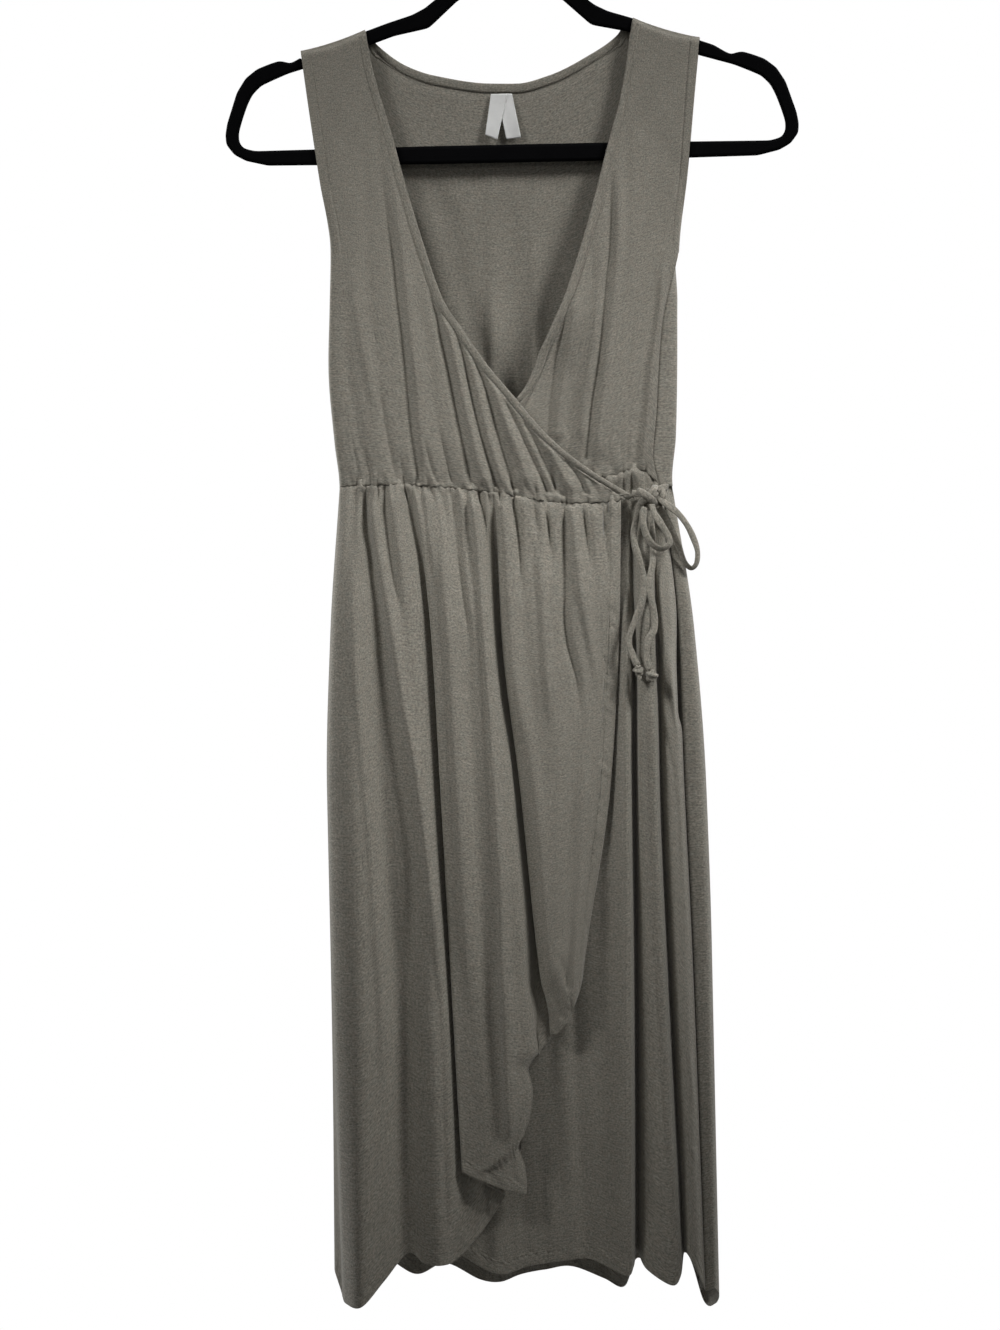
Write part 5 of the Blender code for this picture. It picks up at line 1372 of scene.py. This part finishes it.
HANGER_OUTER = traced(     # right half, from the neck round to the bar
    "9:-76 14:-84 30:-91 57:-107.5 66:-114.5 76:-119.5 95:-125.4 158:-147.6 166:-152.6 171:-155 176:-153.5 "
    "180:-153 188:-155.5 197:-159 206:-166 213:-177 217:-189 221:-201 222.5:-209.5 222:-217 216:-225 "
    "207:-230 190:-234 60:-235.5")
HANGER_INNER = traced(
    "0:-94 14:-96.5 40:-109 63:-130 90:-135.5 147:-155.5 173:-163 185:-168 194:-172 201:-179 205:-187 209:-198 "
    "212:-208 212:-215 209:-220 200:-222.5 60:-221.5")
HANGER_HALF_THICK = 3.0
HANGER_ROUND = 2.5         # radius of the moulding's edges


def smooth_outline(half, blur):
    """A closed outline from its right half, evenly spaced and with its corners rounded, in mm."""
    closed = np.array(half + [(-x, z) for x, z in reversed(half) if x > 0] + half[:1], float)
    run = run_of(closed)
    line = at_run(np.linspace(0, run[-1], int(run[-1]), endpoint=False), run, closed)
    shifts = range(-int(3 * blur), int(3 * blur) + 1)
    weights = [np.exp(-0.5 * (s / blur)**2) for s in shifts]
    return sum(w * np.roll(line, s, axis=0) for w, s in zip(weights, shifts)) / sum(weights)


STRAP_CLEAR = 3.0          # how far the arm's top is kept below the straps that cover it


def under_straps(line):
    x, z = line[:, 0], line[:, 1]
    covered = sum(ease((x - a[0].x) / 3) * ease((a[-1].x - x) / 3) for a in (LEFT_SHOULDER, RIGHT_SHOULDER))
    return np.stack((x, z - STRAP_CLEAR * covered * ease((z - shoulder_z(x) + 9) / 3)), 1)


def build_hanger(flock):
    curve = bpy.data.curves.new("hanger_outline", "CURVE")
    curve.dimensions = "2D"
    curve.fill_mode = "BOTH"
    for half, blur in ((HANGER_OUTER, 1.6), (HANGER_INNER, 2.2)):
        line = smooth_outline(half, blur)
        if half is HANGER_OUTER:
            line = under_straps(line)
        part = curve.splines.new("POLY")
        part.points.add(len(line) - 1)
        part.points.foreach_set("co", np.pad(line * MM, ((0, 0), (0, 2))).ravel())
        part.use_cyclic_u = True
    curve.bevel_depth = HANGER_ROUND * MM
    curve.bevel_resolution = 3
    curve.offset = -HANGER_ROUND * MM
    curve.extrude = (HANGER_HALF_THICK - HANGER_ROUND) * MM
    made = bpy.data.objects.new("hanger_curve", curve)
    bpy.context.scene.collection.objects.link(made)
    bpy.context.view_layer.update()
    mesh = bpy.data.meshes.new_from_object(made.evaluated_get(bpy.context.evaluated_depsgraph_get()))
    bpy.data.objects.remove(made)
    mesh.transform(Matrix.Rotation(pi / 2, 4, "X"))
    mesh.materials.clear()
    mesh.shade_smooth()
    settle(add_object("hanger_flock", mesh, flock), "flock", "hanger_body")


LABEL_LEGS = (             # each leg's corners: top left, top right, foot right, foot left, then its lift
    ((-15.9, -181.6), (-3.0, -181.6), (-11.6, -217.4), (-21.0, -213.4), 0.55),
    ((-11.5, -181.6), (0.6, -181.6), (6.8, -216.0), (-4.6, -217.0), 0.0))
LABEL_Y = 3.2
LABEL_WALL = 0.35


def build_label(tape):
    """One tape folded at the neck seam, its two ends crossed and hanging apart."""
    made = []
    for k, (a, b, c, d, lift) in enumerate(LABEL_LEGS):
        u, v = np.meshgrid(even(16), even(34), indexing="ij")
        x = mix(mix(a[0], b[0], u), mix(d[0], c[0], u), v)
        z = mix(mix(a[1], b[1], u), mix(d[1], c[1], u), v)
        curl = 0.8 * (2 * u - 1)**2 * ease(v) + 0.9 * np.sin(2.4 * v + k) * v
        y = LABEL_Y - lift - curl * 0.9 + 0.2 * noise(x, z, 5, 8, LABEL_SEED + k)
        leg = grid_object(f"neck_label_leg_{k}", np.stack((x, y, z), -1), tape, LABEL_WALL)
        made.append(settle(leg, "tape", "neck_label"))
    return made


BAG_INNER = (62.0, -2.5, -560.0, -722.0, 20.0)   # x, y, top and foot z of the bag's far edge, and its bow


def build_pocket(cloth):
    """The pocket's bag, folded over at its far edge and open at the side seam."""
    seam = under_skirt(np.array([len(UNDER_SKIRT_LINES) - 1.0]), 60)[0][0]
    inner_x, inner_y, top, foot, bow = BAG_INNER
    w = even(50)
    edge = at_run(-mix(POCKET_TOP_Z, POCKET_FOOT_Z, w), -seam[:, 2], seam) + (-1.6, 2.2, 0)
    inner = np.stack((inner_x + bow * (2 * w - 1)**2, 0 * w + inner_y, mix(top, foot, w)), 1)
    q = even(40)
    s = (1 - np.abs(2 * q - 1))[:, None, None]
    points = mix(edge[None], inner[None], ease(s) * 0.3 + s * 0.7)
    layer = np.sign(q - 0.5)[:, None] * 0.8 * ease((1 - s[..., 0]) * 8)
    points[..., 1] += layer + 0.5 * noise(points[..., 0], points[..., 2], 9, 30, BAG_SEED)
    return settle(grid_object("pocket_bag_cloth", points, cloth, 0.5), "jersey", "pocket_bag")


# rows counts a skirt's rows between the close ones; flat and area are the panel's as cut, in metres
Panel = namedtuple("Panel", "name form lines columns rows flat area")
SKIRT_PANELS = (
    Panel("front_skirt_over", over_skirt, OVER_SKIRT_LINES, 290, 118, (0.368, 0.60), 0.155),
    Panel("front_skirt_under", under_skirt, UNDER_SKIRT_LINES, 260, 105, (0.30, 0.60), 0.154),
    Panel("back_skirt", back_skirt, BACK_SKIRT_LINES, 275, 92, (0.416, 0.61), 0.239),
)
BODICE_PANELS = (
    Panel("front_bodice_over", over_bodice, None, 240, 150, (0.24, 0.382), 0.037),
    Panel("front_bodice_under", under_bodice, None, 210, 140, (0.20, 0.384), 0.032),
    Panel("back_bodice", back_bodice, None, 210, 120, (0.31, 0.364), 0.098),
)


def back_neck_edge(s):
    left, right = LEFT_SHOULDER[0].x, RIGHT_SHOULDER[-1].x
    return WRAP_START * (mix(-110.0, 93.5, s) - left) / (right - left), 0.0 * s


Binding = namedtuple("Binding", "name form edge inward stations width node")
BINDINGS = (               # edge gives u, v along the panel's edge; inward is the way from it in u, v
    Binding("over_binding", over_bodice, lambda s: (1 + 0 * s, mix(0.004, 0.985, s)), (-1, 0), 260, 6.0,
            "neck_binding_over"),
    Binding("under_binding", under_bodice, lambda s: (0 * s, mix(0.004, 0.72, s)), (1, 0), 200, 6.0,
            "neck_binding_under"),
    Binding("back_binding", back_bodice, back_neck_edge, (0, 1), 200, 6.6, "back_neck_binding"),
)


def sewn(name, rows, out, mat):
    """The stitches of some rows on one panel."""
    return settle(stitches_object(name, [stitch_verts(line, side, out) for line, side in rows], mat), "jersey")


def build_dress(cloth, tape):
    yarn = thread()
    skirts, tops, on_top = [], [], []
    for panel in SKIRT_PANELS:
        made, rows = skirt_sheet(panel.name + "_cloth", panel, cloth)
        skirts.append((settle(made, "jersey", panel.name), [sewn(panel.name + "_stitches", rows, HEM_LIFT, yarn)]))
    for panel in BODICE_PANELS:
        tops.append(settle(bodice_sheet(panel.name + "_cloth", panel, cloth), "jersey", panel.name))
    for k, band in enumerate(BINDINGS):
        made, row = band_sheet(band, cloth, BAND_SEED + k)
        on_top.append([settle(made, "binding", band.node), sewn(band.name + "_stitches", [row], BAND_LIFT, yarn)])
    on_top[2].extend(build_label(tape))
    skirts[1][1].append(build_pocket(cloth))


def main():
    for loose in [o for o in bpy.data.objects if o.name in ("Cube", "Light", "Camera")]:
        bpy.data.objects.remove(loose)
    bpy.context.scene.view_settings.view_transform = "Standard"
    build_camera()
    cloth = jersey("jersey")
    build_ties(jersey("jersey ties", 1.05))
    build_hanger(velvet())
    build_dress(cloth, satin_tape())
    hook = frame["nodes"]["hanger_hook"].data
    hook.materials.clear()
    hook.materials.append(wire_metal())
    build_studio()


main()
